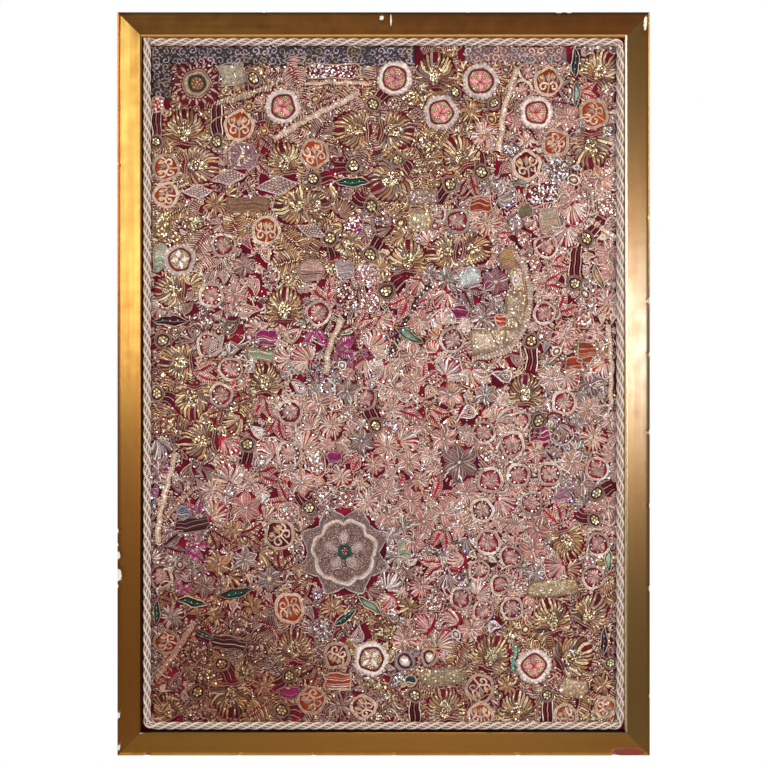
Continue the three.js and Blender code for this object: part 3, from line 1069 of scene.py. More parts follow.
@dataclass(frozen=True)
class VelvetFinish:
    """Crimson velvet, worn and brushed in patches."""

    name: str = "crimson_velvet"

    def dress(self) -> bpy.types.Material:
        """Makes the material.

        Returns:
            The material.
        """
        bench = Bench(self.name)
        brushed = bench.noise(26.0, 4.0)
        pile = bench.noise(900.0, 3.0)
        colour = bench.ramp(brushed, [(0.25, Thread.MAROON.light), (0.5, Thread.WINE.light),
                                      (0.75, Thread.CRIMSON.light)])
        colour = bench.toned(colour, pile, [0.6] * 3, [1.35] * 3)
        bench.set(Base_Color=colour, Specular_IOR_Level=0.1)
        bench.set(Roughness=pile * 0.2 + 0.7)
        bench.bump(pile, 0.7, 0.5)
        return bench.material


@dataclass(frozen=True)
class RopeFinish:
    """Twisted silk floss: cream and red plies chequered over the fat strands, plain in the cords."""

    name: str
    is_plied: bool
    cells_around: float = 15.0
    cell_length: float = 3.7
    raggedness: float = 0.8
    cream_ply: tuple[int, int, int] = (242, 216, 194)
    red_ply: tuple[int, int, int] = (104, 38, 38)

    def dress(self) -> bpy.types.Material:
        """Makes the material.

        Returns:
            The material.
        """
        bench = Bench(self.name)
        colour = bench.painted(SHADED_COLOUR_LAYER)["Color"]
        floss = bench.noise(1500.0, 2.0)
        if self.is_plied:
            colour = bench.mix(1.0, colour, self.plies(bench), "MULTIPLY")
        colour = bench.toned(colour, floss, [0.72] * 3, [1.25] * 3)
        bench.set(Base_Color=colour, Specular_IOR_Level=0.3)
        bench.set(Roughness=floss * 0.2 + 0.55)
        bench.bump(floss, 0.7, 0.6)
        return bench.material

    def plies(self, bench: Bench) -> Value:
        """The chequer of plies, from how far round and along the strand a place lies.

        Args:
            bench: the material being made

        Returns:
            The colour of the ply.
        """
        place = bench.node("ShaderNodeSeparateColor", {}, {"Color": bench.painted(WEAVE_LAYER)["Color"]})
        around = bench.math("SINE", place["Red"] * (math.pi * self.cells_around), 0.0)
        along = bench.math("SINE", place["Green"] * (math.pi / (self.cell_length * MM)), 0.0)
        ragged = around * along + bench.noise(430.0, 3.0) * self.raggedness
        return bench.mix(bench.step(ragged, 0.12, 0.52), linear(*self.cream_ply), linear(*self.red_ply))


class Run(Enum):
    """Which way a rail runs, as the stretch of its streaks along the object's axes."""

    ACROSS = (2.0, 30.0, 60.0)
    UPRIGHT = (60.0, 30.0, 2.0)


@dataclass(frozen=True)
class GiltFinish:
    """Rubbed gold leaf over red clay and a white ground that shows in the chips."""

    name: str
    run: Run
    leaf: tuple[int, int, int]
    rubbed: tuple[int, int, int]
    dull: float = 0.0
    # The inner bevel's colour, set rail by rail: painted light and shade, lighter or darker as the lamps
    # fall on that rail
    bevel: tuple[int, int, int] = (92, 54, 20)
    gesso: Array = field(default_factory=lambda: linear(236, 230, 216))
    clay: Array = field(default_factory=lambda: linear(128, 44, 24))
    leaf_width: float = 0.083
    joint_shows: float = 0.12
    bevel_shows: float = 0.96
    chip_raggedness: float = 0.9

    def dress(self) -> bpy.types.Material:
        """Makes the material.

        Returns:
            The material.
        """
        bench = Bench(self.name)
        streaks = bench.noise(1.0, 4.0, bench.stretched(self.run.value))
        mottle = bench.noise(34.0, 5.0)
        scratch = bench.noise(420.0, 4.0)
        leaf, rubbed = linear(*self.leaf), linear(*self.rubbed)
        gold = bench.mix(bench.step(streaks * 0.7 + mottle * 0.5, 0.42, 0.8), leaf, rubbed)
        joints = self.joints(bench)
        gold = bench.mix(joints * self.joint_shows, gold, rubbed)
        layer = bench.node("ShaderNodeSeparateColor", {},
                           {"Color": bench.painted(BARE_AND_BEVEL_LAYER)["Color"]})
        # Painted light and shade: the inner bevel takes the rail's bevel colour in place of its gold
        gold = bench.mix(layer["Blue"] * self.bevel_shows, gold, linear(*self.bevel))
        ragged = scratch * self.chip_raggedness
        chip = bench.step(layer["Red"] + ragged, 0.95, 1.02)
        clay = bench.step(layer["Green"] + ragged, 0.95, 1.05)
        colour = bench.mix(clay, bench.mix(chip, gold, self.gesso), self.clay)
        bare = bench.math("MAXIMUM", chip, clay)
        bench.set(Base_Color=colour, Metallic=(1 - bare) * 0.92)
        bench.set(Roughness=mottle * 0.08 + streaks * 0.08 + bare * 0.4 + (0.13 + self.dull))
        bench.bump(streaks * 0.3 + scratch * 0.12 - joints * 0.05 - bare * 0.6, 0.35, 0.5)
        return bench.material

    def joints(self, bench: Bench) -> Value:
        """Thin cross lines where one leaf of gold overlaps the next.

        Args:
            bench: the material being made

        Returns:
            One on a joint, nothing beside it.
        """
        place = bench.node("ShaderNodeSeparateXYZ", {}, {"Vector": bench.where})
        along = place["X"] if self.run is Run.ACROSS else place["Z"]
        shifted = along + bench.noise(5.0, 2.0) * 0.02
        saw = bench.math("PINGPONG", shifted, self.leaf_width / 2)
        return 1 - bench.step(saw, 0.0004, 0.0022)


@dataclass(frozen=True)
class PlywoodFinish:
    """Bare plywood, brown and matt, its grain running up."""

    name: str = "plain_plywood"

    def dress(self) -> bpy.types.Material:
        """Makes the material.

        Returns:
            The material.
        """
        bench = Bench(self.name)
        grain = bench.noise(3.0, 6.0, bench.stretched((16.0, 16.0, 1.0)))
        pores = bench.noise(40.0, 3.0, bench.stretched((14.0, 14.0, 1.0)))
        colour = bench.ramp(grain, [(0.3, linear(112, 80, 50)), (0.5, linear(150, 114, 76)),
                                    (0.7, linear(176, 140, 98))])
        bench.set(Base_Color=bench.toned(colour, pores, [0.8] * 3, [1.15] * 3))
        bench.set(Roughness=pores * 0.2 + 0.68)
        bench.bump(pores * 0.6 + grain * 0.4, 0.4, 0.4)
        return bench.material


STITCH_FINISHES = (
    StitchFinish("metal_thread", metallic=0.35, roughness=0.42, grain=430.0, relief=0.5),
    StitchFinish("silk_cord", metallic=0.0, roughness=0.62, grain=480.0, relief=0.5, tone=0.34, gloss=0.3),
    StitchFinish("spangle_foil", metallic=0.55, roughness=0.26, grain=300.0, relief=0.1, tone=0.12),
    StitchFinish("glass_bead", metallic=0.3, roughness=0.24, grain=260.0, relief=0.1, tone=0.15, coat=0.5),
    StitchFinish("satin_patch", metallic=0.0, roughness=0.5, grain=380.0, relief=0.35, gloss=0.12),
)


@dataclass(frozen=True)
class Chip:
    """A flake off a rail's gilding: its middle along and inwards, and its size each way."""

    along: float
    inward: float
    length: float
    width: float
    is_clay: bool = False


@dataclass(frozen=True)
class Rail:
    """One rail of the flat moulding, pulled along its length and mitred at both ends."""

    name: str
    node: str
    gilding: GiltFinish
    chips: tuple[Chip, ...]
    plain_spacing: float = 30.0
    chip_spacing: float = 2.2
    arris_steps: int = 4
    chip_depth: float = 0.9
    face_steps: int = 8
    last_face_step: float = 0.962
    bevel_overlap: float = 0.7
    crease: float = 38.0

    def section(self, hanging: Hanging) -> Array:
        """The rail's section as pairs of inwards and depth, its arrises softly rounded.

        Args:
            hanging: the hanging's sizes

        Returns:
            The corners, in order from the outer edge of the back.
        """
        face = hanging.depth - RAIL_FACE_SLOPE
        lip = hanging.face + PATCH_GAP
        turn = np.linspace(0, math.pi / 2, self.arris_steps + 1)
        round_in = RAIL_OUTER_ROUND * (1 - np.cos(turn))
        round_up = hanging.depth - RAIL_OUTER_ROUND * (1 - np.sin(turn))
        outer = np.stack([round_in, round_up], -1)
        share = np.append(np.linspace(0, 1, self.face_steps)[1:-1], self.last_face_step)
        start, end = RAIL_OUTER_ROUND, hanging.rail - RAIL_INNER_BEVEL
        flat = np.stack([start + (end - start) * share, hanging.depth - RAIL_FACE_SLOPE * share], -1)
        foot = face - RAIL_INNER_BEVEL
        bevel = [(end - 0.6, face + 0.03), (end + 0.5, face - 0.4), (hanging.rail - 0.4, foot + 0.5),
                 (hanging.rail, foot - 0.5)]
        back = [(hanging.rail, lip), (hanging.rail - RAIL_LIP, lip), (hanging.rail - RAIL_LIP, 0)]
        return np.concatenate([[(0, 0), (0, hanging.depth / 2)], outer, flat, bevel, back])

    def stations(self, length: float) -> Array:
        """Places along the rail as shares of its length, close together where a chip lies.

        Args:
            length: the rail's length

        Returns:
            The shares, rising.
        """
        places = list(np.linspace(0, length, round(length / self.plain_spacing) + 1))
        for chip in self.chips:
            reach = chip.length / 2 + 4 * self.chip_spacing
            places += list(np.arange(chip.along - reach, chip.along + reach, self.chip_spacing))
        places = np.unique(np.clip(np.array(places), 0, length))
        close = np.concatenate([[True], np.diff(places) > self.chip_spacing / 3])
        return places[close] / length

    def worn(self, along: Array, inward: Array, is_clay: bool) -> Array:
        """How far the gilding is gone at places on the rail, nothing to one.

        Args:
            along: places along the rail
            inward: places inwards from its outer edge
            is_clay: whether to count the worn clay, or else the chips

        Returns:
            An array of places along by places inwards.
        """
        gone = np.zeros(along.shape)
        for chip in self.chips:
            if chip.is_clay is is_clay:
                off = ((along - chip.along) / chip.length * 2) ** 4
                gone = np.maximum(gone, np.exp(-off - ((inward - chip.inward) / chip.width * 2) ** 4))
        return gone

    def make(self, hanging: Hanging) -> bpy.types.Object:
        """Makes and gilds the rail, and lets it stand for the plain one.

        Args:
            hanging: the hanging's sizes

        Returns:
            The rail.
        """
        low, high = (np.array(corner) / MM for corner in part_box(self.node))
        middle = (low + high) / 2
        across = self.gilding.run is Run.ACROSS
        length = (high - low)[0 if across else 2] + 2 * MITRE_SETBACK
        section = self.section(hanging)
        inward, depth = section[:, 0], section[:, 1]
        shares = self.stations(length)
        ends = length / 2 - inward - MITRE_SETBACK
        run = (2 * shares[:, None] - 1) * ends
        along = np.clip(run + length / 2, 0, length)
        wear = np.maximum(self.worn(along, inward, False), 0.5 * self.worn(along, inward, True))
        front = (depth > hanging.depth / 2 + 1) & (inward < hanging.rail - RAIL_INNER_BEVEL - 1)
        sunk_depth = depth - self.chip_depth * wear * front
        sunk_in = inward + 0.6 * self.chip_depth * wear * (inward < RAIL_OUTER_ROUND) * front
        if across:
            outwards = 1 if middle[2] > hanging.middle else -1
            edge = high[2] if outwards > 0 else low[2]
            x, z = run + middle[0], edge - outwards * sunk_in
        else:
            outwards = 1 if middle[0] > 0 else -1
            edge = high[0] if outwards > 0 else low[0]
            x, z = edge - outwards * sunk_in, middle[2] - run
        points = np.stack([x, -sunk_depth, z], -1).reshape(-1, 3) * MM
        made = new_object(self.name, points, self.faces(len(shares), section), [self.gilding.dress()])
        face_outwards(made, self.crease)
        bevel_start = hanging.rail - RAIL_INNER_BEVEL - self.bevel_overlap
        bevel = np.broadcast_to(inward > bevel_start, along.shape)
        # Red marks the chips, green the worn clay, and blue the inner bevel, whose colour is painted light
        # and shade
        bare = np.stack([self.worn(along, inward, False), self.worn(along, inward, True), bevel], -1)
        paint(made, BARE_AND_BEVEL_LAYER, bare.reshape(-1, 3))
        return seat(made, "gilt_wood", [self.node])

    @staticmethod
    def faces(stations: int, section: Array) -> Array:
        """Triangles of the rail's sides and of its two mitred ends.

        Args:
            stations: how many stations it has
            section: its section

        Returns:
            The triangles, by the numbers of their points.
        """
        corners = len(section)
        here = np.arange(stations - 1)[:, None] * corners
        side = np.arange(corners)
        after = (side + 1) % corners
        near, near_next = here + side, here + after
        far, far_next = near + corners, near_next + corners
        quads = np.stack([near, near_next, far_next, far], -1).reshape(-1, 4)
        cap = np.array(tessellate_polygon([[Vector((*corner, 0)) for corner in section]]))
        return np.concatenate([halved(quads), cap, cap + (stations - 1) * corners])


@dataclass(frozen=True)
class GiltFrame:
    """The four rails, with the chips and the patch of red clay where the gilding has gone."""

    # The last colour of each finish is its bevel's, painted light and shade: pale on the right, bright on
    # the top, dark on the left and bottom
    rails: tuple[Rail, ...] = (
        # Painted shade: the top rail's leaf is dark brown, standing in for the dark reflection along its
        # face
        Rail("gilt_rail_top", "frame_top",
             GiltFinish("painted_shade_gilt", Run.ACROSS, (96, 56, 17), (80, 45, 13), 0.2, (212, 158, 82)),
             (Chip(517, 24, 4, 4), Chip(541, 12, 11, 8), Chip(560, 16, 4, 26), Chip(904, 0, 14, 4),
              Chip(925, 0, 12, 4), Chip(300, 0, 5, 3), Chip(718, 0, 4, 3))),
        Rail("gilt_rail_bottom", "frame_bottom",
             GiltFinish("brown_gilt", Run.ACROSS, (212, 152, 70), (188, 126, 52), 0.0, (36, 22, 9)),
             (Chip(44, 44, 6, 5), Chip(120, 28, 5, 5), Chip(60, 0, 14, 4), Chip(250, 0, 6, 3),
              Chip(402, 0, 9, 4), Chip(566, 0, 5, 3), Chip(820, 0, 8, 4),
              Chip(1046, 8, 78, 16, True), Chip(1020, 1, 16, 5))),
        Rail("gilt_rail_left", "frame_left",
             GiltFinish("rubbed_gilt", Run.UPRIGHT, (180, 116, 52), (158, 96, 40), 0.0, (62, 40, 17)),
             (Chip(1062, 0, 10, 5), Chip(1090, 0, 6, 4), Chip(1112, 1, 16, 9), Chip(1152, 3, 26, 13),
              Chip(1175, 0, 8, 4), Chip(1440, 1, 14, 6), Chip(310, 0, 5, 3), Chip(1506, 3, 12, 6))),
        Rail("gilt_rail_right", "frame_right",
             GiltFinish("pale_gilt", Run.UPRIGHT, (162, 124, 66), (144, 102, 52), 0.0, (255, 236, 190)),
             (Chip(22, 9, 34, 8), Chip(420, 0, 6, 3), Chip(589, 0, 12, 4), Chip(700, 0, 7, 4),
              Chip(860, 0, 10, 4), Chip(1010, 0, 8, 3), Chip(1180, 0, 12, 4), Chip(1289, 18, 5, 5),
              Chip(1400, 0, 7, 3))),
    )

    def make(self, hanging: Hanging) -> None:
        """Makes the rails."""
        for rail in self.rails:
            rail.make(hanging)


@dataclass(frozen=True)
class VelvetGround:
    """The cloth itself: crimson velvet stretched over the board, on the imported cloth's lumps."""

    columns: int = 96
    rows: int = 140
    pucker: float = 0.18
    crease: float = 50.0
    seed: int = 3

    def make(self, ground: Ground) -> bpy.types.Object:
        """Makes the cloth as one closed sheet, its front puckered between the stitches.

        Args:
            ground: the face of the cloth

        Returns:
            The cloth.
        """
        hanging = ground.hanging
        low, high = (np.array(corner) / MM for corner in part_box("embroidered_cloth"))
        across = np.linspace(low[0], high[0], self.columns + 1) + hanging.sight[0] / 2
        down = hanging.top - hanging.rail - np.linspace(high[2], low[2], self.rows + 1)
        grid_across, grid_down = np.meshgrid(across, down)
        depth = hanging.face + ground.lift(grid_across, grid_down)
        inside = ground.from_edge(grid_across, grid_down) > ROPE_FROM_SIGHT_EDGE + ROPE_RADIUS
        rng = np.random.default_rng(self.seed)
        depth = depth - inside * self.pucker * rng.random(depth.shape)
        front = hanging.world(grid_across, grid_down, depth).reshape(-1, 3)
        index = np.arange(front.shape[0]).reshape(self.rows + 1, self.columns + 1)
        rim = np.concatenate([index[0, :-1], index[:-1, -1], index[-1, :0:-1], index[:0:-1, 0]])
        behind = front[rim].copy()
        behind[:, 1] = high[1] * MM
        middle = behind.mean(0, keepdims=True)
        quads = np.stack([index[:-1, :-1], index[1:, :-1], index[1:, 1:], index[:-1, 1:]], -1)
        quads = quads.reshape(-1, 4)
        first = len(front)
        back = first + np.arange(len(rim))
        after = np.roll(back, -1)
        edge = np.stack([rim, np.roll(rim, -1), after, back], -1)
        fan = np.stack([back, after, np.full(len(rim), first + len(rim))], -1)
        faces = np.concatenate([halved(np.concatenate([quads, edge])), fan])
        points = np.concatenate([front, behind, middle])
        made = new_object("velvet_ground", points, faces, [VelvetFinish().dress()])
        face_outwards(made, self.crease)
        seat(made, "embroidered_ground", ["embroidered_cloth"])
        return made


@dataclass(frozen=True)
class LaidRope:
    """The rope in the frame's inner edge: three fat strands with two thin cords in each groove."""

    strand_step: float = 2.75
    cord_step: float = 3.3
    corners: int = 18
    cord_width: float = 0.36
    cord_apart: float = 0.19
    cord_bed: float = 1.4
    cord_side_shade: float = 0.7
    cord_colour: tuple[int, int, int] = (255, 243, 226)
    strand_fullness: float = 0.7
    groove_shade: float = 0.25

    def line(self, hanging: Hanging, spacing: float) -> Array:
        """The rope's middle line in x and z: down, along, up and back, with round corners.

        Args:
            hanging: the hanging's sizes
            spacing: how far apart its stations are

        Returns:
            The stations, in millimetres.
        """
        side = hanging.sight[0] / 2 - ROPE_FROM_SIGHT_EDGE
        top = hanging.top - hanging.rail - ROPE_FROM_SIGHT_EDGE
        bottom = hanging.top - hanging.height + hanging.rail + ROPE_FROM_SIGHT_EDGE
        bend = ROPE_CORNER_RADIUS
        turn = np.linspace(0, math.pi / 2, 8)
        stretches = [np.array([[-side, top + ROPE_FROM_SIGHT_EDGE - ROPE_END_GAP]])]
        corners = [(-side + bend, bottom + bend, math.pi),
                   (side - bend, bottom + bend, 1.5 * math.pi),
                   (side - bend, top - bend, 0.0)]
        for x, z, start in corners:
            angle = start + turn
            stretches.append(np.stack([x + bend * np.cos(angle), z + bend * np.sin(angle)], -1))
        stretches.append(np.array([[-side + ROPE_RADIUS + ROPE_END_GAP, top]]))
        return evenly(np.concatenate(stretches), spacing)

    def around(self, hanging: Hanging, line: Array, reach: Array, turn: Array) -> Array:
        """Points round the middle line, at a reach and a turn that follow the rope's lay.

        Args:
            hanging: the hanging's sizes
            line: the stations of the middle line
            reach: how far each point lies from it
            turn: each point's angle round it, before the lay

        Returns:
            An array of stations by points by three, in millimetres.
        """
        tangent = np.gradient(line, axis=0)
        steps = np.linalg.norm(np.diff(line, axis=0), axis=1)
        along = np.concatenate([[0], np.cumsum(steps)])
        tangent /= np.linalg.norm(tangent, axis=1, keepdims=True)
        angle = turn + 2 * math.pi * along[:, None] / ROPE_LEAD
        sideways, forward = reach * np.sin(angle), reach * np.cos(angle)
        x = line[:, :1] - tangent[:, 1:] * sideways
        z = line[:, 1:] + tangent[:, :1] * sideways
        depth = hanging.face + PATCH_GAP + ROPE_RADIUS + forward
        return np.stack([x, -depth, z], -1)

    def strands(self, hanging: Hanging) -> tuple[Array, Array, Array, Array]:
        """Points, faces, colours and places in the weave of the three fat strands.

        Args:
            hanging: the hanging's sizes

        Returns:
            The four arrays, in that order.
        """
        line = self.line(hanging, self.strand_step)
        side = np.arange(self.corners)
        share = (side + 0.5) / self.corners
        turn = math.pi / ROPE_STRANDS + 2 * math.pi * share
        lobe = np.abs(np.cos(turn * ROPE_STRANDS / 2)) ** self.strand_fullness
        reach = ROPE_GROOVE_RADIUS + (ROPE_STRAND_RADIUS - ROPE_GROOVE_RADIUS) * lobe
        points = self.around(hanging, line, reach, turn)
        here = np.arange(len(line) - 1)[:, None] * self.corners
        after = (side + 1) % self.corners
        quads = np.stack([here + side, here + after, here + self.corners + after,
                          here + self.corners + side], -1).reshape(-1, 4)
        cap = np.stack([np.zeros(self.corners - 2, int), side[1:-1], side[2:]], -1)
        faces = np.concatenate([halved(quads), cap, cap + (len(line) - 1) * self.corners])
        along = np.arange(len(line)) * self.strand_step * MM
        weave = np.stack(np.broadcast_arrays(share, along[:, None], 0.0), -1)
        # Painted shade: the strands darker down in their grooves
        lit = self.groove_shade + (1 - self.groove_shade) * lobe
        shade = np.broadcast_to(lit[:, None], points.shape)
        return points.reshape(-1, 3), faces, shade.reshape(-1, 3), weave.reshape(-1, 3)

    def cords(self, hanging: Hanging) -> tuple[Array, Array, Array]:
        """Points, faces and colours of the thin cords, two to a groove.

        Args:
            hanging: the hanging's sizes

        Returns:
            The three arrays, in that order.
        """
        line = self.line(hanging, self.cord_step)
        bed = ROPE_GROOVE_RADIUS + self.cord_bed
        shape = np.array([(-1, bed), (0, ROPE_RADIUS), (1, bed)])
        # Painted shade: the cords darker along their sides
        lit = np.array([self.cord_side_shade, 1, self.cord_side_shade])
        colours = lit[:, None] * linear(*self.cord_colour)
        points, faces, shades, count = [], [], [], 0
        for groove in range(ROPE_STRANDS):
            for hand in (-1, 1):
                turn = (2 * groove + 1) * math.pi / ROPE_STRANDS + hand * self.cord_apart
                turn = turn + shape[:, 0] * self.cord_width / 2
                laid = self.around(hanging, line, shape[:, 1], turn)
                near = count + np.arange(len(line) - 1)[:, None] * 3 + np.arange(2)
                quads = np.stack([near, near + 1, near + 4, near + 3], -1).reshape(-1, 4)
                points.append(laid.reshape(-1, 3))
                faces.append(halved(quads))
                shades.append(np.broadcast_to(colours, laid.shape).reshape(-1, 3))
                count += len(points[-1])
        return np.concatenate(points), np.concatenate(faces), np.concatenate(shades)

    def make(self, hanging: Hanging) -> bpy.types.Object:
        """Makes the rope in one piece.

        Args:
            hanging: the hanging's sizes

        Returns:
            The rope.
        """
        points, faces, colours, weave = self.strands(hanging)
        cord_points, cord_faces, cord_colours = self.cords(hanging)
        picks = np.concatenate([np.zeros(len(faces)), np.ones(len(cord_faces))])
        materials = [RopeFinish("rope_strand", True).dress(), RopeFinish("rope_cord", False).dress()]
        made = new_object("laid_rope", np.concatenate([points, cord_points]) * MM,
                          np.concatenate([faces, cord_faces + len(points)]), materials, picks)
        paint(made, SHADED_COLOUR_LAYER, np.concatenate([colours, cord_colours]))
        paint(made, WEAVE_LAYER, np.concatenate([weave, np.zeros_like(cord_points)]))
        face_outwards(made)
        return seat(made, "twisted_rope", ["rope_trim"])


@dataclass(frozen=True)
class Hoop:
    """A round of the cloth under work. Shapes are shares of its radius, threads are millimetres."""

    cloth: Stitchery
    place: Place
    radius: float
    threads: Palette
    lift: float = 0.0

    @property
    def rng(self) -> np.random.Generator:
        """The run of random draws of the piece."""
        return self.cloth.rng

    def beside(self, right: float, up: float, turn: float = 0.0, share: float = 1.0) -> "Hoop":
        """A hoop set in this one, placed and sized by shares of its radius."""
        place = self.place.beside(right * self.radius, up * self.radius, turn)
        return replace(self, place=place, radius=self.radius * share)

    def count(self, length: float, pitch: float = 4.3) -> int:
        """How many threads at a pitch lie side by side over a length in shares of the radius."""
        return max(3, round(length * self.radius / pitch))

    def mixed(self, many: int) -> Array:
        """A colour for each of several stitches, most of them plain and a few bright.

        Args:
            many: how many stitches

        Returns:
            An array of stitches by three.
        """
        tints = np.stack([thread.light for thread in (
            self.threads.thread, self.threads.cord, self.threads.light, self.threads.accent)])
        return tints[self.rng.choice(4, many, p=(0.44, 0.32, 0.18, 0.06))]

    def lay(self, lines: Array, width: float | Array = 2.9, rise: float | Array = 1.9,
            thread: Thread | Array | None = None, section: Section = Section.THREAD,
            finish: Finish = Finish.METAL, base: float = 0.5, closed: bool = False) -> None:
        """Lays threads or cords along lines, in mixed colours where no thread is named.

        Args:
            lines: one line, or several with as many stations each
            width: their width
            rise: how high they stand
            thread: a thread, or a colour for each
            section: the cross section
            finish: what they are made of
            base: how high they lie over the cloth
            closed: whether each line runs back into its start
        """
        lines = lines[None] if lines.ndim == 2 else lines
        colour = self.mixed(len(lines)) if thread is None else thread
        self.cloth.couch(self.place.at(lines * self.radius), width, rise, colour, section, finish,
                         base + self.lift, closed)

    def edge(self, outline: Array, width: float = 2.4, rise: float = 2.2, thread: Thread | None = None,
             section: Section = Section.CORD, base: float = 0.5) -> None:
        """Couches a silk cord round an outline."""
        self.lay(outline, width, rise, thread or self.threads.cord, section, Finish.SILK, base, True)

    def pad(self, outlines: Array, rise: float = 2.0, thread: Thread | Array | None = None,
            mound: Mound = Mound.PETAL, finish: Finish = Finish.METAL, base: float = 0.5) -> None:
        """Raises padded shapes inside outlines.

        Args:
            outlines: one outline, or several with as many corners each
            rise: how high they stand
            thread: a thread, or a colour for each
            mound: the profile
            finish: what they are made of
            base: how high they lie over the cloth
        """
        outlines = outlines[None] if outlines.ndim == 2 else outlines
        colour = self.mixed(len(outlines)) if thread is None else thread
        self.cloth.raise_mounds(self.place.at(outlines * self.radius), mound, rise, colour, finish,
                                base + self.lift)

    def ground(self, outline: Array, thread: Thread | None = None, rise: float = 0.5,
               finish: Finish = Finish.SATIN) -> None:
        """Sews a flat patch of cloth inside an outline."""
        self.pad(outline, rise, thread or self.threads.ground, Mound.PATCH, finish, 0.05)

    def bead(self, spots: Array, radius: float = 1.8, thread: Thread | Array | None = None,
             rise: float = 1.1, base: float = 0.8, mound: Mound = Mound.BEAD,
             finish: Finish = Finish.GLASS, corners: int = 6) -> None:
        """Sews round beads or knots at spots, their rise a share of their radius.

        Args:
            spots: where they are sewn
            radius: their radius
            thread: a thread, or a colour for each
            rise: their height as a share of the radius
            base: how high they lie over the cloth
            mound: the profile
            finish: what they are made of
            corners: how many corners a bead has
        """
        spots = spots.reshape(-1, 2)
        outlines = spots[:, None] + circle(radius / self.radius, corners)
        colour = self.mixed(len(spots)) if thread is None else thread
        self.pad(outlines, rise * radius, colour, mound, finish, base)

    def spangle(self, spots: Array, radius: float = 2.0, thread: Thread | None = None,
                base: float = 2.0, tilt: float = 10.0) -> None:
        """Sews sequins at spots."""
        self.cloth.spangles(self.place.at(spots * self.radius), radius, thread or self.threads.light,
                            base + self.lift, tilt)

    def bar(self, middles: Array, length: float, degrees: Array | float, width: float = 2.8,
            rise: float = 1.9, thread: Thread | Array | None = None, base: float = 1.2,
            finish: Finish = Finish.SPANGLE) -> None:
        """Sews short bright bars of bullion round their middles.

        Args:
            middles: where their middles lie
            length: their length
            degrees: the way they lie
            width: their width
            rise: how high they stand
            thread: a thread, or a colour for each
            base: how high they lie over the cloth
            finish: what they are made of
        """
        share = np.array([-0.5, -0.3, 0.3, 0.5]) * length / self.radius
        lean = np.radians(np.broadcast_to(degrees, (len(middles),)))
        along = np.stack([-np.sin(lean), np.cos(lean)], -1)
        lines = middles[:, None] + along[:, None] * share[:, None]
        widths = width * np.array([0.4, 1, 1, 0.4])
        colour = self.threads.light if thread is None else thread
        self.lay(lines, widths, rise, colour, Section.THREAD, finish, base)


class Pattern:
    """A pattern that a hoop of the cloth is worked in."""

    def work(self, hoop: Hoop) -> None:
        """Works the pattern in a hoop."""
        raise NotImplementedError

    def cover(self, spot: Spot) -> tuple[Array, float]:
        """Middles and radius of the discs that the pattern covers, worked at a spot."""
        return np.array([spot.across, spot.down]), 0.94 * spot.radius


MIDDLE = np.zeros((1, 2))
# Widths of a stitch that starts and ends thin, as shares of its full width
TAPERED = np.array([0.5, 1, 1, 0.5])


@dataclass(frozen=True)
class RingFlower(Pattern):
    """A ring of padded scallops round a satin star of four points and nests of gilt beads."""

    petals: Thread = Thread.PINK
    scallops: int = 25

    def work(self, hoop: Hoop) -> None:
        """Works the pattern in a hoop.

        Args:
            hoop: the round of cloth that it is worked in
        """
        hoop.ground(circle(0.97, 24), Thread.OXBLOOD)
        turns = all_round(self.scallops)
        scallop = circle(1.0, 8) * (0.15, 0.14) + (0, 0.88)
        hoop.pad(turned(scallop, turns), 3.4, Thread.LACE, Mound.BEAD, Finish.SILK, 0.3)
        hoop.edge(circle(0.79, 48), 0.21 * hoop.radius, 3.8, Thread.LACE, Section.BRAID, 0.3)
        hoop.edge(circle(0.65, 36), 2.2, 1.6, Thread.CRIMSON)
        hoop.ground(circle(0.6, 18), Thread.FAWN, 0.9)
        quarters = np.arange(4) * 90.0
        hoop.pad(turned(leaf_outline(0.63, 0.35), quarters), 2.2, self.petals, finish=Finish.SATIN, base=0.9)
        nest = np.concatenate([circle(0.12, 6) + (0, 0.42), [(0, 0.42)]])
        hoop.bead(turned(nest, quarters + 45), 2.3, Thread.BRIGHT_GOLD, base=1.0)
        hoop.bead(MIDDLE, 2.4, Thread.FLAME, base=1.8)


@dataclass(frozen=True)
class ScrollMedallion(Pattern):
    """A round of satin under thick couched cord: an outline, spirals, loops and padded leaves."""

    satin: Thread = Thread.ORANGE
    cord: Thread = Thread.CREAM

    def work(self, hoop: Hoop) -> None:
        """Works the pattern in a hoop.

        Args:
            hoop: the round of cloth that it is worked in
        """
        turns = all_round(48)
        pointed = 0.92 + 0.1 * np.exp(-((np.minimum(turns, 360 - turns) / 22) ** 2))
        hoop.ground(circle(0.93, 20), self.satin, 0.7)
        hoop.edge(polar(pointed, turns), 7.4, 3.6, self.cord, Section.PAIR)
        for hand in (-1, 1):
            coil = spiral(0.1, 0.31, 40, 1.1, 16) * (hand, 1) + (hand * 0.37, -0.3)
            loop = arc(0.26, 20, 300, 12) * (hand * 0.8, 1.15) + (hand * 0.46, 0.3)
            for line in (coil, loop):
                hoop.lay(line, 4.7, 3.0, self.cord, Section.CORD, Finish.SILK)
            petal = hoop.beside(hand * 0.4, 0.34, -hand * 35)
            petal.pad(leaf_outline(0.5, 0.32) - (0, 0.25), 2.2, Thread.PEACH)
        stem = np.stack([np.zeros(5), np.linspace(-0.84, 0.0, 5)], -1)
        hoop.lay(stem, 4.2, 2.8, self.cord, Section.CORD, Finish.SILK)
        leaf = hoop.beside(0, -0.06, -8)
        leaf.pad(leaf_outline(0.78, 0.34), 2.6, Thread.FAWN)
        leaf.lay(spokes(0.1, 0.55, np.array([-22.0, 0.0, 22.0]), 0.0, 4), 1.8, 1.5, self.cord, base=2.2)


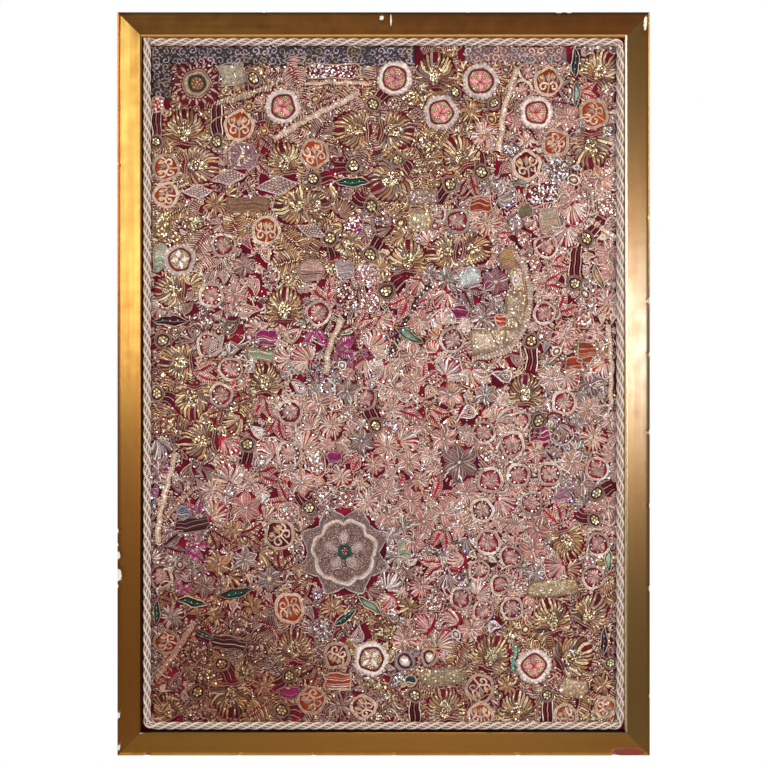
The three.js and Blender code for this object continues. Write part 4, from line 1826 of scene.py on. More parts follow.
@dataclass(frozen=True)
class RingedRosette(Pattern):
    """Two wide rounds of cord about a lobed star of fine laid thread, sequins between its lobes."""

    # The share of the outer ring worked pale on one side, as a painted highlight
    bright: float = 0.34

    def work(self, hoop: Hoop) -> None:
        """Works the pattern in a hoop.

        Args:
            hoop: the round of cloth that it is worked in
        """
        hoop.ground(circle(0.97, 18))
        # Painted highlight: the outer ring is pale over an arc round one turn and darker elsewhere; the same
        # turn also sets the star's lobes
        lit = hoop.rng.uniform(0, 360)
        turns = all_round(40)
        near = np.abs((turns - lit + 180) % 360 - 180) < 180 * self.bright
        shades = np.where(near[:, None], Thread.PALE.light, 0.9 * hoop.threads.cord.light)[None]
        ring = circle(0.85, 40) * (1 + 0.02 * hoop.rng.normal(), 1)
        hoop.lay(ring, 0.25 * hoop.radius, 3.4, shades, Section.PAIR, base=0.3, closed=True)
        hoop.lay(ring * 0.8, 1.8, 1.4, Thread.WINE, base=0.6, closed=True)
        lobes = int(hoop.rng.integers(4, 7))
        strokes = hoop.count(3.4, 3.5)
        angles = all_round(strokes) + hoop.rng.normal(0, 2, strokes)
        reach = 0.58 + 0.08 * np.cos(np.radians(angles * lobes + lit))
        shade = np.where(hoop.rng.random((strokes, 1)) < 0.35, Thread.MAUVE.light, hoop.threads.thread.light)
        hoop.lay(spokes(0.05, reach, angles, 4.0, 4), 3.7 * np.array([0.4, 0.9, 1.2, 0.7]), 1.8, shade)
        hoop.bead(MIDDLE, 0.1 * hoop.radius, hoop.threads.cord, base=1.4)
        hoop.spangle(circle(0.63, 12)[hoop.rng.random(12) < 0.6], 1.9)


@dataclass(frozen=True)
class Palmette(Pattern):
    """A fan of twisted fronds close together round a heart packed with gilt sequins."""

    fronds: int = 9
    heart: float = 0.7

    def work(self, hoop: Hoop) -> None:
        """Works the pattern in a hoop.

        Args:
            hoop: the round of cloth that it is worked in
        """
        hoop.ground(circle(0.9, 18) * (1, 1.05))
        share = np.linspace(0, 1, 7)[:, None]
        shades = np.stack([thread.light for thread in (Thread.OLD_GOLD, Thread.DULL_GOLD, Thread.TAUPE,
                                                       Thread.FAWN, Thread.BRIGHT_GOLD)])
        for hand in (-1, 1):
            angles = np.linspace(128, 9, self.fronds)
            starts = np.stack([hand * 0.4 * self.heart * np.sin(np.radians(angles)) + hand * 0.02,
                               np.linspace(-0.62, 0.18, self.fronds)], -1)
            reach = 0.93 + 0.09 * np.cos(np.radians(angles * 3)) + hoop.rng.normal(0, 0.02, self.fronds)
            tips = polar(reach, -hand * angles)
            bows = (starts + tips) / 2 + np.stack([hand * 0.12 + 0 * angles, -0.16 + 0 * angles], -1)
            lines = ((1 - share) ** 2 * starts[:, None] + 2 * share * (1 - share) * bows[:, None]
                     + share ** 2 * tips[:, None])
            widths = 0.138 * hoop.radius * np.array([0.5, 0.8, 0.95, 1, 1.1, 1, 0.5])
            pick = hoop.rng.choice(5, self.fronds, p=(0.38, 0.2, 0.2, 0.1, 0.12))
            hoop.lay(lines, widths, 2.9, shades[pick], Section.PAIR, base=0.3)
            lit = hoop.rng.random(self.fronds) < 0.7
            hoop.bar(lines[lit, 4] * 0.95, 0.3 * hoop.radius, -hand * angles[lit], 3.8, 2.6,
                     Thread.BRIGHT_GOLD, 2.0)
        self.fill_heart(hoop)
        level = np.linspace(-1.5, 1.5, 11)
        for width, drop in ((0.6, -0.74), (0.66, -0.85)):
            bow = np.stack([level / 1.5 * width, drop + 0.1 * np.cos(level)], -1)
            hoop.lay(bow, 2.8, 2.3, hoop.threads.cord, Section.CORD)

    def fill_heart(self, hoop: Hoop) -> None:
        """Packs the heart with sequins in slanting rows and a rim of cord.

        Args:
            hoop: the round of cloth that it is worked in
        """
        outline = leaf_outline(1.06, self.heart, 14) - (0, 0.66)
        hoop.pad(outline, 2.6, Thread.OXBLOOD, finish=Finish.SATIN, base=0.3)
        pitch = 3.3 / hoop.radius
        right, up = np.meshgrid(np.arange(-0.33, 0.33, pitch), np.arange(-0.6, 0.34, pitch * 0.95))
        spots = np.stack([right, up + 0.35 * np.abs(right)], -1).reshape(-1, 2)
        spots += hoop.rng.normal(0, 0.01, spots.shape)
        half = 0.5 * self.heart * np.sin(np.pi * np.clip((spots[:, 1] + 0.66) / 1.06, 0, 1)) ** 0.8
        spots = spots[np.abs(spots[:, 0]) < 0.86 * half]
        lit = hoop.rng.random(len(spots)) < 0.6
        hoop.spangle(spots[lit], 1.6, Thread.BRIGHT_GOLD, 2.8, 9)
        hoop.bead(spots[~lit], 1.7, hoop.threads.thread, base=2.0, mound=Mound.STUD, finish=Finish.METAL)
        hoop.edge(outline, 2.0, 2.2, hoop.threads.cord, Section.THREAD)


@dataclass(frozen=True)
class Plume(Pattern):
    """A feather of gold: curved bars either side of a rib sewn with bright sequins."""

    def work(self, hoop: Hoop) -> None:
        """Works the pattern in a hoop.

        Args:
            hoop: the round of cloth that it is worked in
        """
        hoop.ground(circle(0.85, 12) * (0.8, 1))
        bars = hoop.count(1.7, 4.4)
        levels = np.linspace(-0.85, 0.75, bars)
        share = np.array([0, 0.35, 0.7, 1.0])
        for hand in (-1, 1):
            length = 0.78 * np.cos(np.linspace(-0.9, 1.1, bars)) + hoop.rng.normal(0, 0.03, bars)
            right = hand * (0.1 + length[:, None] * share)
            up = levels[:, None] + 0.42 * length[:, None] * share ** 1.5
            hoop.lay(np.stack([right, up], -1), 4.4 * np.array([0.5, 1, 1, 0.4]), 2.4, base=0.4)
        spots = np.stack([hoop.rng.normal(0, 0.05, bars), levels + 0.05], -1)
        hoop.bar(spots, 6.5, hoop.rng.normal(60, 15, bars), 3.0, 2.6, base=1.2)
        if hoop.radius > 16:
            hoop.edge(leaf_outline(1.9, 1.5, 16) - (0, 0.95), 2.2, 2.0, section=Section.THREAD, base=0.3)


@dataclass(frozen=True)
class Fan(Pattern):
    """Strokes of thread spread from one foot to an arched cord."""

    sweep: float = 150.0

    def work(self, hoop: Hoop) -> None:
        """Works the pattern in a hoop.

        Args:
            hoop: the round of cloth that it is worked in
        """
        hoop.ground(circle(0.85, 12))
        foot = hoop.beside(0, -0.7)
        strokes = hoop.count(math.radians(self.sweep) * 0.95)
        angles = np.linspace(-self.sweep / 2, self.sweep / 2, strokes) + hoop.rng.normal(0, 2.5, strokes)
        arched = 1.5 - 0.55 * np.abs(np.linspace(-1, 1, strokes)) ** 1.5
        reach = arched * hoop.rng.uniform(0.93, 1.05, strokes)
        curl = np.full(strokes, hoop.rng.normal(0, 14))
        foot.lay(spokes(0.15, reach, angles, curl, 4), 4.3 * np.array([0.4, 0.8, 1.2, 0.8]), 2.2)
        if hoop.radius > 9:
            rim = polar(np.append(reach, reach[-1])[:-1] + 0.1, angles + curl)
            foot.lay(rim, 2.8, 2.5, hoop.mixed(1), Section.THREAD, Finish.METAL)
            foot.spangle(rim[::2] * 0.86, 1.9, base=2.4)


@dataclass(frozen=True)
class Burst(Pattern):
    """A round of strokes of thread from the middle out, in two tiers."""

    def work(self, hoop: Hoop) -> None:
        """Works the pattern in a hoop.

        Args:
            hoop: the round of cloth that it is worked in
        """
        hoop.ground(circle(0.85, 12))
        strokes = hoop.count(4.2)
        angles = all_round(strokes) + hoop.rng.normal(0, 3, strokes)
        curl = hoop.rng.normal(0, 8, strokes)
        reach = hoop.rng.uniform(0.78, 1.04, strokes)
        hoop.lay(spokes(0.3, reach, angles, curl, 4), 4.1 * np.array([0.6, 1, 1.1, 0.6]), 2.1)
        inner = all_round(max(5, strokes // 2)) + hoop.rng.uniform(0, 60)
        hoop.lay(spokes(0.06, 0.46, inner, 10.0, 4), 3.4 * TAPERED, 2.0, base=1.1)


@dataclass(frozen=True)
class PetalFlower(Pattern):
    """Petals of laid thread with corded edges on a red ground, and here and there a bright bar."""

    petals: int = 6

    def work(self, hoop: Hoop) -> None:
        """Works the pattern in a hoop.

        Args:
            hoop: the round of cloth that it is worked in
        """
        hoop.ground(circle(0.85, 14))
        turns = all_round(self.petals) + hoop.rng.normal(0, 5, self.petals)
        width = 1.32 * math.sin(math.pi / self.petals)
        outlines = turned(leaf_outline(0.9, width, 10) + (0, 0.1), turns)
        shade = (0.6, 0.34, 0.32) * hoop.threads.thread.light * hoop.rng.normal(1, 0.15, (self.petals, 1))
        hoop.pad(outlines, 1.6, shade)
        hoop.lay(outlines, 2.2, 2.4, base=0.6, closed=True)
        ribs = 3 if hoop.radius > 14 else 2
        share = np.linspace(0.15, 0.9, 4)
        for lean in np.linspace(-0.5, 0.5, ribs):
            rib = np.stack([lean * width * 0.6 * np.sin(share * math.pi * 0.92), share], -1)
            hoop.lay(turned(rib, turns), 3.7 * TAPERED, 1.7, base=1.2)
        lit = turns[hoop.rng.random(self.petals) < 0.45]
        if len(lit) and hoop.radius > 10:
            middles = polar(np.full(len(lit), 0.8), lit + 10)
            hoop.bar(middles, 0.55 * hoop.radius, lit + 24, 3.2, 2.4, base=1.8)
        hoop.bead(MIDDLE, 0.12 * hoop.radius, hoop.threads.light, base=1.6)


@dataclass(frozen=True)
class LeafPair(Pattern):
    """Two or three veined leaves on one foot."""

    leaves: int = 2

    def work(self, hoop: Hoop) -> None:
        """Works the pattern in a hoop.

        Args:
            hoop: the round of cloth that it is worked in
        """
        foot = hoop.beside(0, -0.85)
        turns = np.linspace(-24, 24, self.leaves) * self.leaves / 2 + hoop.rng.normal(0, 5, self.leaves)
        outline = leaf_outline(1.75, 0.78, 10)
        outlines = turned(outline, turns)
        foot.pad(outlines, 0.8, hoop.threads.ground, Mound.PATCH, Finish.SATIN, 0.1)
        foot.edge(outlines, 2.2, 2.2, section=Section.THREAD)
        veins = hoop.count(1.2, 4.6)
        level = np.linspace(0.3, 1.3, veins)
        for hand in (-1, 1):
            half = 0.36 * np.sin(math.pi * (level + 0.16) / 1.75)
            ends = np.stack([hand * half, level + 0.22], -1)
            roots = np.stack([hand * 0.04 + 0 * level, level], -1)
            lines = roots[:, None] + (ends - roots)[:, None] * np.array([0, 0.6, 1])[:, None]
            for turn in turns:
                foot.lay(turned(lines.reshape(-1, 2), [turn])[0].reshape(lines.shape), 3.6, 1.7)


@dataclass(frozen=True)
class BeadField(Pattern):
    """A round, lozenge or oblong of cloth packed with beads and sequins in a corded edge."""

    shape: float = 0.6
    corners: int = 4
    packing: float = 3.7

    def work(self, hoop: Hoop) -> None:
        """Works the pattern in a hoop.

        Args:
            hoop: the round of cloth that it is worked in
        """
        turns = all_round(24)
        step = 360 / max(self.corners, 1)
        inside = np.cos(np.radians(turns % step - step / 2)) if self.corners else np.ones(24)
        narrow = math.cos(math.radians(step / 2)) if self.corners else 1.0
        outline = circle(1.0, 24) * (narrow / inside)[:, None] * (1, self.shape)
        hoop.ground(outline, rise=0.7)
        pitch = self.packing / hoop.radius
        right, up = np.meshgrid(np.arange(-1, 1, pitch), np.arange(-1, 1, pitch * 0.9))
        spots = np.stack([right + (np.arange(len(up)) % 2)[:, None] * pitch / 2, up], -1).reshape(-1, 2)
        edge = np.roll(outline, -1, 0) - outline
        off = spots[:, None] / 0.86 - outline
        side = edge[:, 0] * off[..., 1] - edge[:, 1] * off[..., 0]
        spots = spots[(side >= 0).all(1)]
        spots = spots + hoop.rng.normal(0, 0.3 / hoop.radius, spots.shape)
        lit = hoop.rng.random(len(spots)) < 0.35
        hoop.bead(spots[~lit], 1.75, rise=1.2, mound=Mound.STUD, finish=Finish.METAL)
        hoop.spangle(spots[lit], 1.9, base=1.6)
        hoop.edge(outline, 2.6, 2.3, section=Section.PAIR)

    def cover(self, spot: Spot) -> tuple[Array, float]:
        """Middles and radius of the discs that the patch covers."""
        line = np.stack([np.linspace(-0.5, 0.5, 5) * spot.radius, np.zeros(5)], -1)
        return spot.place.at(line), 0.6 * self.shape * spot.radius


@dataclass(frozen=True)
class Lozenge(Pattern):
    """A long lozenge with a lattice of small white beads inside a double edge."""

    slim: float = 0.44
    cells: int = 6

    def work(self, hoop: Hoop) -> None:
        """Works the pattern in a hoop.

        Args:
            hoop: the round of cloth that it is worked in
        """
        corners = np.array([(-1, 0), (0, self.slim), (1, 0), (0, -self.slim)])
        outline = evenly(np.concatenate([corners, corners[:1]]), 0.28)[:-1]
        hoop.ground(outline * 1.18, Thread.CRIMSON, 0.5)
        hoop.ground(outline, Thread.MAUVE, 1.1)
        share = (np.arange(self.cells) + 0.5) / self.cells * 2 - 1
        first, second = np.meshgrid(share, share)
        spots = np.stack([first + second, (first - second) * self.slim], -1).reshape(-1, 2) / 2
        hoop.bead(spots, 1.9, Thread.WHITE, base=1.2)
        hoop.bead(spots * 0.86 + (0, 0.05), 1.1, Thread.WINE, base=1.6)
        hoop.edge(outline, 2.8, 3.0, Thread.LACE, Section.PAIR, 1.0)

    def cover(self, spot: Spot) -> tuple[Array, float]:
        """Middles and radius of the discs that the lozenge covers."""
        line = np.stack([np.linspace(-0.6, 0.6, 5) * spot.radius, np.zeros(5)], -1)
        return spot.place.at(line), 0.4 * spot.radius


@dataclass(frozen=True)
class Pod(Pattern):
    """A long leaf of folded satin in a corded edge."""

    satin: Thread = Thread.BOTTLE
    slim: float = 0.28

    def work(self, hoop: Hoop) -> None:
        """Works the pattern in a hoop.

        Args:
            hoop: the round of cloth that it is worked in
        """
        outline = leaf_outline(2.0, 2 * self.slim, 16) - (0, 1)
        hoop.pad(outline, 2.0, self.satin, finish=Finish.SATIN)
        hoop.edge(outline, 2.4, 2.2)
        level = np.linspace(-0.86, 0.86, 9)
        folds = ((-0.6, Thread.SOOT), (-0.2, Thread.SEA), (0.2, Thread.SOOT), (0.6, Thread.SOOT))
        for side, thread in folds:
            line = np.stack([side * self.slim * np.cos(level * 1.5), level], -1)
            hoop.lay(line, 1.5, 0.9, thread, base=2.0, finish=Finish.SATIN)
        hoop.bead(np.stack([np.zeros(3), np.array([-0.4, 0.0, 0.4])], -1), 1.7, Thread.PALE, base=2.4)

    def cover(self, spot: Spot) -> tuple[Array, float]:
        """Middles and radius of the discs that the pod covers."""
        line = np.stack([np.zeros(5), np.linspace(-0.75, 0.75, 5) * spot.radius], -1)
        return spot.place.at(line), spot.radius * self.slim


@dataclass(frozen=True)
class Curl(Pattern):
    """A comma of nested cords with a bent tip, strokes of thread along its back."""

    hand: int = 1

    def work(self, hoop: Hoop) -> None:
        """Works the pattern in a hoop.

        Args:
            hoop: the round of cloth that it is worked in
        """
        share = np.linspace(0, 1, 20, endpoint=False)
        swell = np.sin(np.pi * share) ** 0.9
        side = np.where(share < 0.5, 1, -1) * np.abs(np.sin(2 * np.pi * share)) ** 0.8
        level = -0.62 + 1.3 * swell
        bend = 0.5 * np.clip(-level, 0, 1) ** 1.5
        outline = np.stack([(0.42 * side * (0.6 + 0.6 * swell) + bend) * self.hand, 0.05 + level], -1)
        hoop.ground(outline)
        middle = outline.mean(0) + (0, 0.12)
        for share, width in ((1.0, 4.0), (0.7, 3.6), (0.4, 3.2))[: 2 if hoop.radius < 12 else 3]:
            hoop.lay(middle + (outline - middle) * share, width, 2.3, closed=True)
        hoop.bead(middle[None], 0.09 * hoop.radius, hoop.threads.light)
        back = hoop.count(1.5, 4.4)
        angles = np.linspace(-20, 165, back)
        starts = polar(np.full(back, 0.64), -self.hand * angles) + (0, 0.05)
        ends = polar(np.full(back, 1.0), -self.hand * (angles + 18)) + (0, 0.05)
        lines = starts[:, None] + (ends - starts)[:, None] * np.array([0, 0.5, 1])[:, None]
        hoop.lay(lines, 4.2, 2.0)


@dataclass(frozen=True)
class Ladder(Pattern):
    """Short bars side by side between two long cords."""

    def work(self, hoop: Hoop) -> None:
        """Works the pattern in a hoop.

        Args:
            hoop: the round of cloth that it is worked in
        """
        bow = 0.12 * np.cos(np.linspace(-2, 2, 7))
        for side in (-0.46, 0.46):
            line = np.stack([side + bow, np.linspace(-0.95, 0.95, 7)], -1)
            hoop.lay(line, 2.6, 2.5, hoop.threads.cord, Section.CORD, Finish.SILK)
        bars = hoop.count(1.7, 4.2)
        middles = np.stack([0.12 * np.cos(np.linspace(-2, 2, bars)), np.linspace(-0.85, 0.85, bars)], -1)
        hoop.bar(middles, 0.82 * hoop.radius, 78, 3.9, 2.0, hoop.mixed(bars), 0.5, Finish.METAL)


@dataclass(frozen=True)
class Boss(Pattern):
    """A corded wheel round a nest of gilt beads, on a stem of cords side by side."""

    stem: float = 1.2
    outer: Thread = Thread.TAUPE

    def work(self, hoop: Hoop) -> None:
        """Works the pattern in a hoop.

        Args:
            hoop: the round of cloth that it is worked in
        """
        cords = ((-0.62, self.outer), (-0.31, Thread.WINE), (0.0, Thread.FAWN), (0.31, Thread.WINE),
                 (0.62, self.outer))
        for offset, thread in cords:
            bow = 0.1 * np.cos(np.linspace(-1.5, 1.5, 7))
            line = np.stack([offset + bow, np.linspace(-0.7, -1 - self.stem, 7)], -1)
            hoop.lay(line, 2.9, 2.4, thread, Section.CORD)
        hoop.ground(circle(0.97, 18), Thread.MAROON, 2.0)
        hoop.edge(circle(0.9, 28), 2.9, 3.4, Thread.FAWN, Section.PAIR, 0.6)
        hoop.edge(circle(0.75, 24), 2.2, 3.2, Thread.TAUPE, Section.CORD, 0.6)
        hoop.ground(circle(0.64, 14), Thread.SOOT, 2.6)
        hoop.ground(circle(0.55, 12), Thread.OCHRE, 2.9)
        nest = np.concatenate([MIDDLE, circle(0.38, 6)])
        hoop.bead(nest, 0.2 * hoop.radius, Thread.OLD_GOLD, 0.9, 2.9, finish=Finish.METAL)
        hoop.spangle(nest + 0.02, 0.14 * hoop.radius, Thread.BRIGHT_GOLD, 6.0, 14)

    def cover(self, spot: Spot) -> tuple[Array, float]:
        """Middles and radius of the discs that the wheel and its stem cover."""
        line = np.stack([np.zeros(5), np.linspace(0, -0.5 - self.stem, 5) * spot.radius], -1)
        return spot.place.at(line), 0.85 * spot.radius


@dataclass(frozen=True)
class Knot(Pattern):
    """A pearl or a padded dot in a ring of cord."""

    ring: Thread | None = None

    def work(self, hoop: Hoop) -> None:
        """Works the pattern in a hoop."""
        hoop.bead(MIDDLE, 0.5 * hoop.radius, hoop.threads.light, 0.8, 0.4, corners=8)
        hoop.lay(circle(0.78, 12), 0.36 * hoop.radius, 1.9, self.ring, closed=True)


@dataclass(frozen=True)
class Dab(Pattern):
    """A few strokes of thread side by side, to close a small gap."""

    def work(self, hoop: Hoop) -> None:
        """Works the pattern in a hoop.

        Args:
            hoop: the round of cloth that it is worked in
        """
        strokes = hoop.count(1.8, 4.0)
        right = np.linspace(-0.75, 0.75, strokes)
        reach = 0.95 - 0.4 * right**2
        bow = hoop.rng.normal(0, 0.3)
        up = np.array([-1, -0.3, 0.4, 1])
        lines = np.stack([right[:, None] + bow * (up**2 - 0.5), reach[:, None] * up], -1)
        hoop.lay(lines, 3.7 * TAPERED, 1.9, base=0.2)


@dataclass(frozen=True)
class Sunburst(Pattern):
    """Silver petals and white beads round a rope ring, a gold braid and a green ring."""

    petals: int = 16

    def work(self, hoop: Hoop) -> None:
        """Works the pattern in a hoop.

        Args:
            hoop: the round of cloth that it is worked in
        """
        hoop.ground(circle(1.12, 28), Thread.WINE, 1.2)
        turns = all_round(self.petals)
        between = turns + 180 / self.petals
        hoop.pad(turned(leaf_outline(0.4, 0.15, 10) + (0, 0.62), turns), 2.6, Thread.ROSE, base=1.2)
        hoop.lay(spokes(0.64, 0.98, turns, 0.0, 4), 1.8, 4.0, Thread.PALE, base=1.2)
        hoop.bead(polar(np.full(self.petals, 0.72), between), 3.0, Thread.SHELL, base=1.2)
        hoop.bead(polar(np.full(self.petals, 0.72), between), 1.4, Thread.WHITE, base=4.0)
        hoop.edge(circle(0.61, 40), 2.8, 3.6, Thread.ROSE, base=0.8)
        hoop.lay(circle(0.475, 36), 0.22 * hoop.radius, 4.4, Thread.CHAMPAGNE, Section.BRAID, closed=True)
        hoop.lay(spokes(0.39, 0.56, np.linspace(0, 360, 40), 12.0, 4), 1.7, 5.0, Thread.PALE)
        hoop.edge(circle(0.345, 24), 3.2, 4.2, Thread.BOTTLE)
        hoop.ground(circle(0.3, 14), Thread.DULL_GOLD, 2.0)
        hoop.bead(circle(0.2, 8), 2.9, Thread.PEACH, base=1.8)
        hoop.bead(circle(0.07, 3), 2.6, Thread.CREAM, base=2.4)


@dataclass(frozen=True)
class GreatRosette(Pattern):
    """The largest rosette: eight pointed lobes of lace, a scalloped band, petals and a green ring."""

    lobes: int = 8
    scallops: int = 7
    knot_pitch: float = 3.5

    def work(self, hoop: Hoop) -> None:
        """Works the pattern in a hoop.

        Args:
            hoop: the round of cloth that it is worked in
        """
        turns = all_round(144)
        hoop.ground(polar(self.lobed(turns), turns), Thread.SMOKE, 0.6)
        for share, width, rise, thread in ((0.98, 2.8, 3.2, Thread.LACE), (0.93, 2.0, 2.4, Thread.ASH)):
            hoop.edge(polar(self.lobed(turns) * share, turns), width, rise, thread, Section.PAIR)
        tips = (np.arange(self.lobes) + 0.5) * 360 / self.lobes
        veins = (tips + np.array([-9.0, -4.0, 0.0, 4.0, 9.0])[:, None]).ravel()
        hoop.lay(spokes(0.84, 1.0, veins, 0.0, 3), 1.5, 2.4, Thread.FAWN, base=0.8)
        band = 0.645 + 0.115 * np.abs(np.sin(np.radians(turns) * self.scallops / 2)) ** 0.6
        for share, width, thread in ((1.08, 4.4, Thread.TAUPE), (1.02, 5.0, Thread.LACE),
                                     (0.96, 4.6, Thread.LINEN), (0.9, 2.8, Thread.TAUPE)):
            hoop.edge(polar(band * share, turns), width, 3.8, thread, Section.PAIR)
        steps = np.arange(-1.0, 1.0, self.knot_pitch / hoop.radius)
        right, up = np.meshgrid(steps, steps)
        spots = np.stack([right + (np.arange(len(steps)) % 2)[:, None] * 0.021, up], -1).reshape(-1, 2)
        spots += hoop.rng.normal(0, 0.006, spots.shape)
        reach = np.linalg.norm(spots, axis=1)
        around = np.degrees(np.arctan2(spots[:, 0], spots[:, 1]))
        spots = spots[(reach > 0.17) & (reach < 0.9 * self.lobed(around))]
        pick = hoop.rng.random(len(spots))
        shares = ((0.0, 0.45, Thread.LINEN), (0.45, 0.78, Thread.MAUVE), (0.78, 1.0, Thread.PALE))
        for low, high, thread in shares:
            chosen = spots[(pick >= low) & (pick < high)]
            hoop.bead(chosen, 1.6, thread, 1.1, 0.8, Mound.STUD, Finish.SILK)
        petals = np.arange(5) * 72.0
        outlines = turned(leaf_outline(0.38, 0.24, 14) + (0, 0.15), petals)
        hoop.pad(outlines, 0.9, Thread.TAUPE, base=0.9)
        hoop.edge(outlines, 1.8, 2.6, Thread.ASH, Section.CORD, 0.9)
        rays = np.concatenate([petals - 9, petals, petals + 9])
        hoop.lay(spokes(0.18, 0.42, rays, 0.0, 4), 1.6, 1.5, Thread.LACE, base=1.8)
        hoop.edge(circle(0.14, 24), 5.4, 3.6, Thread.BOTTLE, base=1.4)
        hoop.bead(circle(0.06, 5), 2.5, Thread.ROSE, base=2.0)
        hoop.bead(MIDDLE, 2.4, Thread.FLAME, base=2.6)

    def lobed(self, turns: Array) -> Array:
        """How far the pointed outline reaches at turns, as a share of the radius."""
        wave = np.abs(np.sin(np.radians(turns) * self.lobes / 2))
        return 0.85 + 0.11 * wave**0.75 + 0.15 * wave**6

    def cover(self, spot: Spot) -> tuple[Array, float]:
        """Middle and radius of the disc that the rosette covers."""
        return np.array([spot.across, spot.down]), spot.radius


@dataclass(frozen=True)
class Braid(Pattern):
    """A braid along a curve: two rows of raised scallops either side of a line of sequins."""

    points: tuple[tuple[float, float], ...]
    width: float = 14.0
    rise: float = 3.4
    thread: Thread = Thread.CREAM
    pitch: float = 5.6

    def line(self) -> Array:
        """Stations along the braid, in millimetres right and up."""
        return curve(self.points, self.pitch) * (1, -1)

    def work(self, hoop: Hoop) -> None:
        """Works the braid.

        Args:
            hoop: a hoop of one millimetre at the cloth's corner
        """
        line = self.line()
        hoop.lay(line, self.width * 0.8, self.rise * 0.7, self.thread, Section.BRAID, Finish.SILK, 0.3)
        along = np.gradient(line, axis=0)
        along /= np.linalg.norm(along, axis=1, keepdims=True)
        aside = np.stack([-along[:, 1], along[:, 0]], -1)
        round_off = circle(1.0, 7)
        for hand in (-1, 1):
            middles = line + hand * aside * self.width * 0.26 + along * hand
            outlines = (middles[:, None] + aside[:, None] * round_off[:, :1] * self.width * 0.27
                        + along[:, None] * round_off[:, 1:] * self.pitch * 0.5)
            hoop.pad(outlines, self.rise, self.thread, Mound.BEAD, Finish.SILK, 0.4)
        hoop.spangle(line[::2] + aside[::2] * 0.8, 1.8, Thread.PALE, self.rise + 0.5, 12)

    def cover(self, spot: Spot) -> tuple[Array, float]:
        """Middles and radius of the discs that the braid covers."""
        return self.line() * (1, -1), self.width / 2


@dataclass(frozen=True)
class Brocade(Pattern):
    """A straight border of brocade, its scrolls and leaves woven close together."""

    start: tuple[float, float]
    end: tuple[float, float]
    width: float
    satin: Thread
    scroll: Thread
    second: Thread = Thread.LICHEN
    repeat: float = 18.5

    def work(self, hoop: Hoop) -> None:
        """Works the border.

        Args:
            hoop: a hoop of one millimetre at the cloth's corner
        """
        start, end = np.array(self.start), np.array(self.end)
        half = np.array([float(np.linalg.norm(end - start)), self.width]) / 2
        lean = math.degrees(math.atan2(-(end - start)[1], (end - start)[0]))
        middle = (start + end) / 2
        band = replace(hoop, place=Place(float(middle[0]), float(middle[1]), lean))
        band.ground(np.array([(-1, -1), (1, -1), (1, 1), (-1, 1)]) * half, self.satin)
        rows = max(1, round(self.width / self.repeat))
        for level in (np.arange(rows) + 0.5) / rows * self.width - half[1]:
            for right in np.arange(-half[0] + 9, half[0] - 6, self.repeat):
                lie = 90.0 * hoop.rng.integers(4) + hoop.rng.normal(0, 9)
                unit = band.beside(float(right), float(level), lie)
                flip = (hoop.rng.choice([-1, 1]), 1)
                thread = self.scroll if hoop.rng.random() < 0.72 else self.second
                unit.lay(spiral(1.2, 8.0, 30, 1.15, 15) * flip, 4.3, 1.8, thread)
                corners = np.array([45.0, 135.0, 225.0, 315.0]) + hoop.rng.normal(0, 8, 4)
                unit.pad(turned(leaf_outline(7.6, 5.2, 6) + (0, 6.6), corners), 1.6, thread, Mound.STUD)

    def cover(self, spot: Spot) -> tuple[Array, float]:
        """Middles and radius of the discs that the border covers."""
        return evenly(np.array([self.start, self.end], float), 8.0), self.width / 2


class Facing(Enum):
    """How a pieced patch is filled."""

    STRIPED = 1
    SEEDED = 2
    GLITTER = 3
    PLAIN = 4


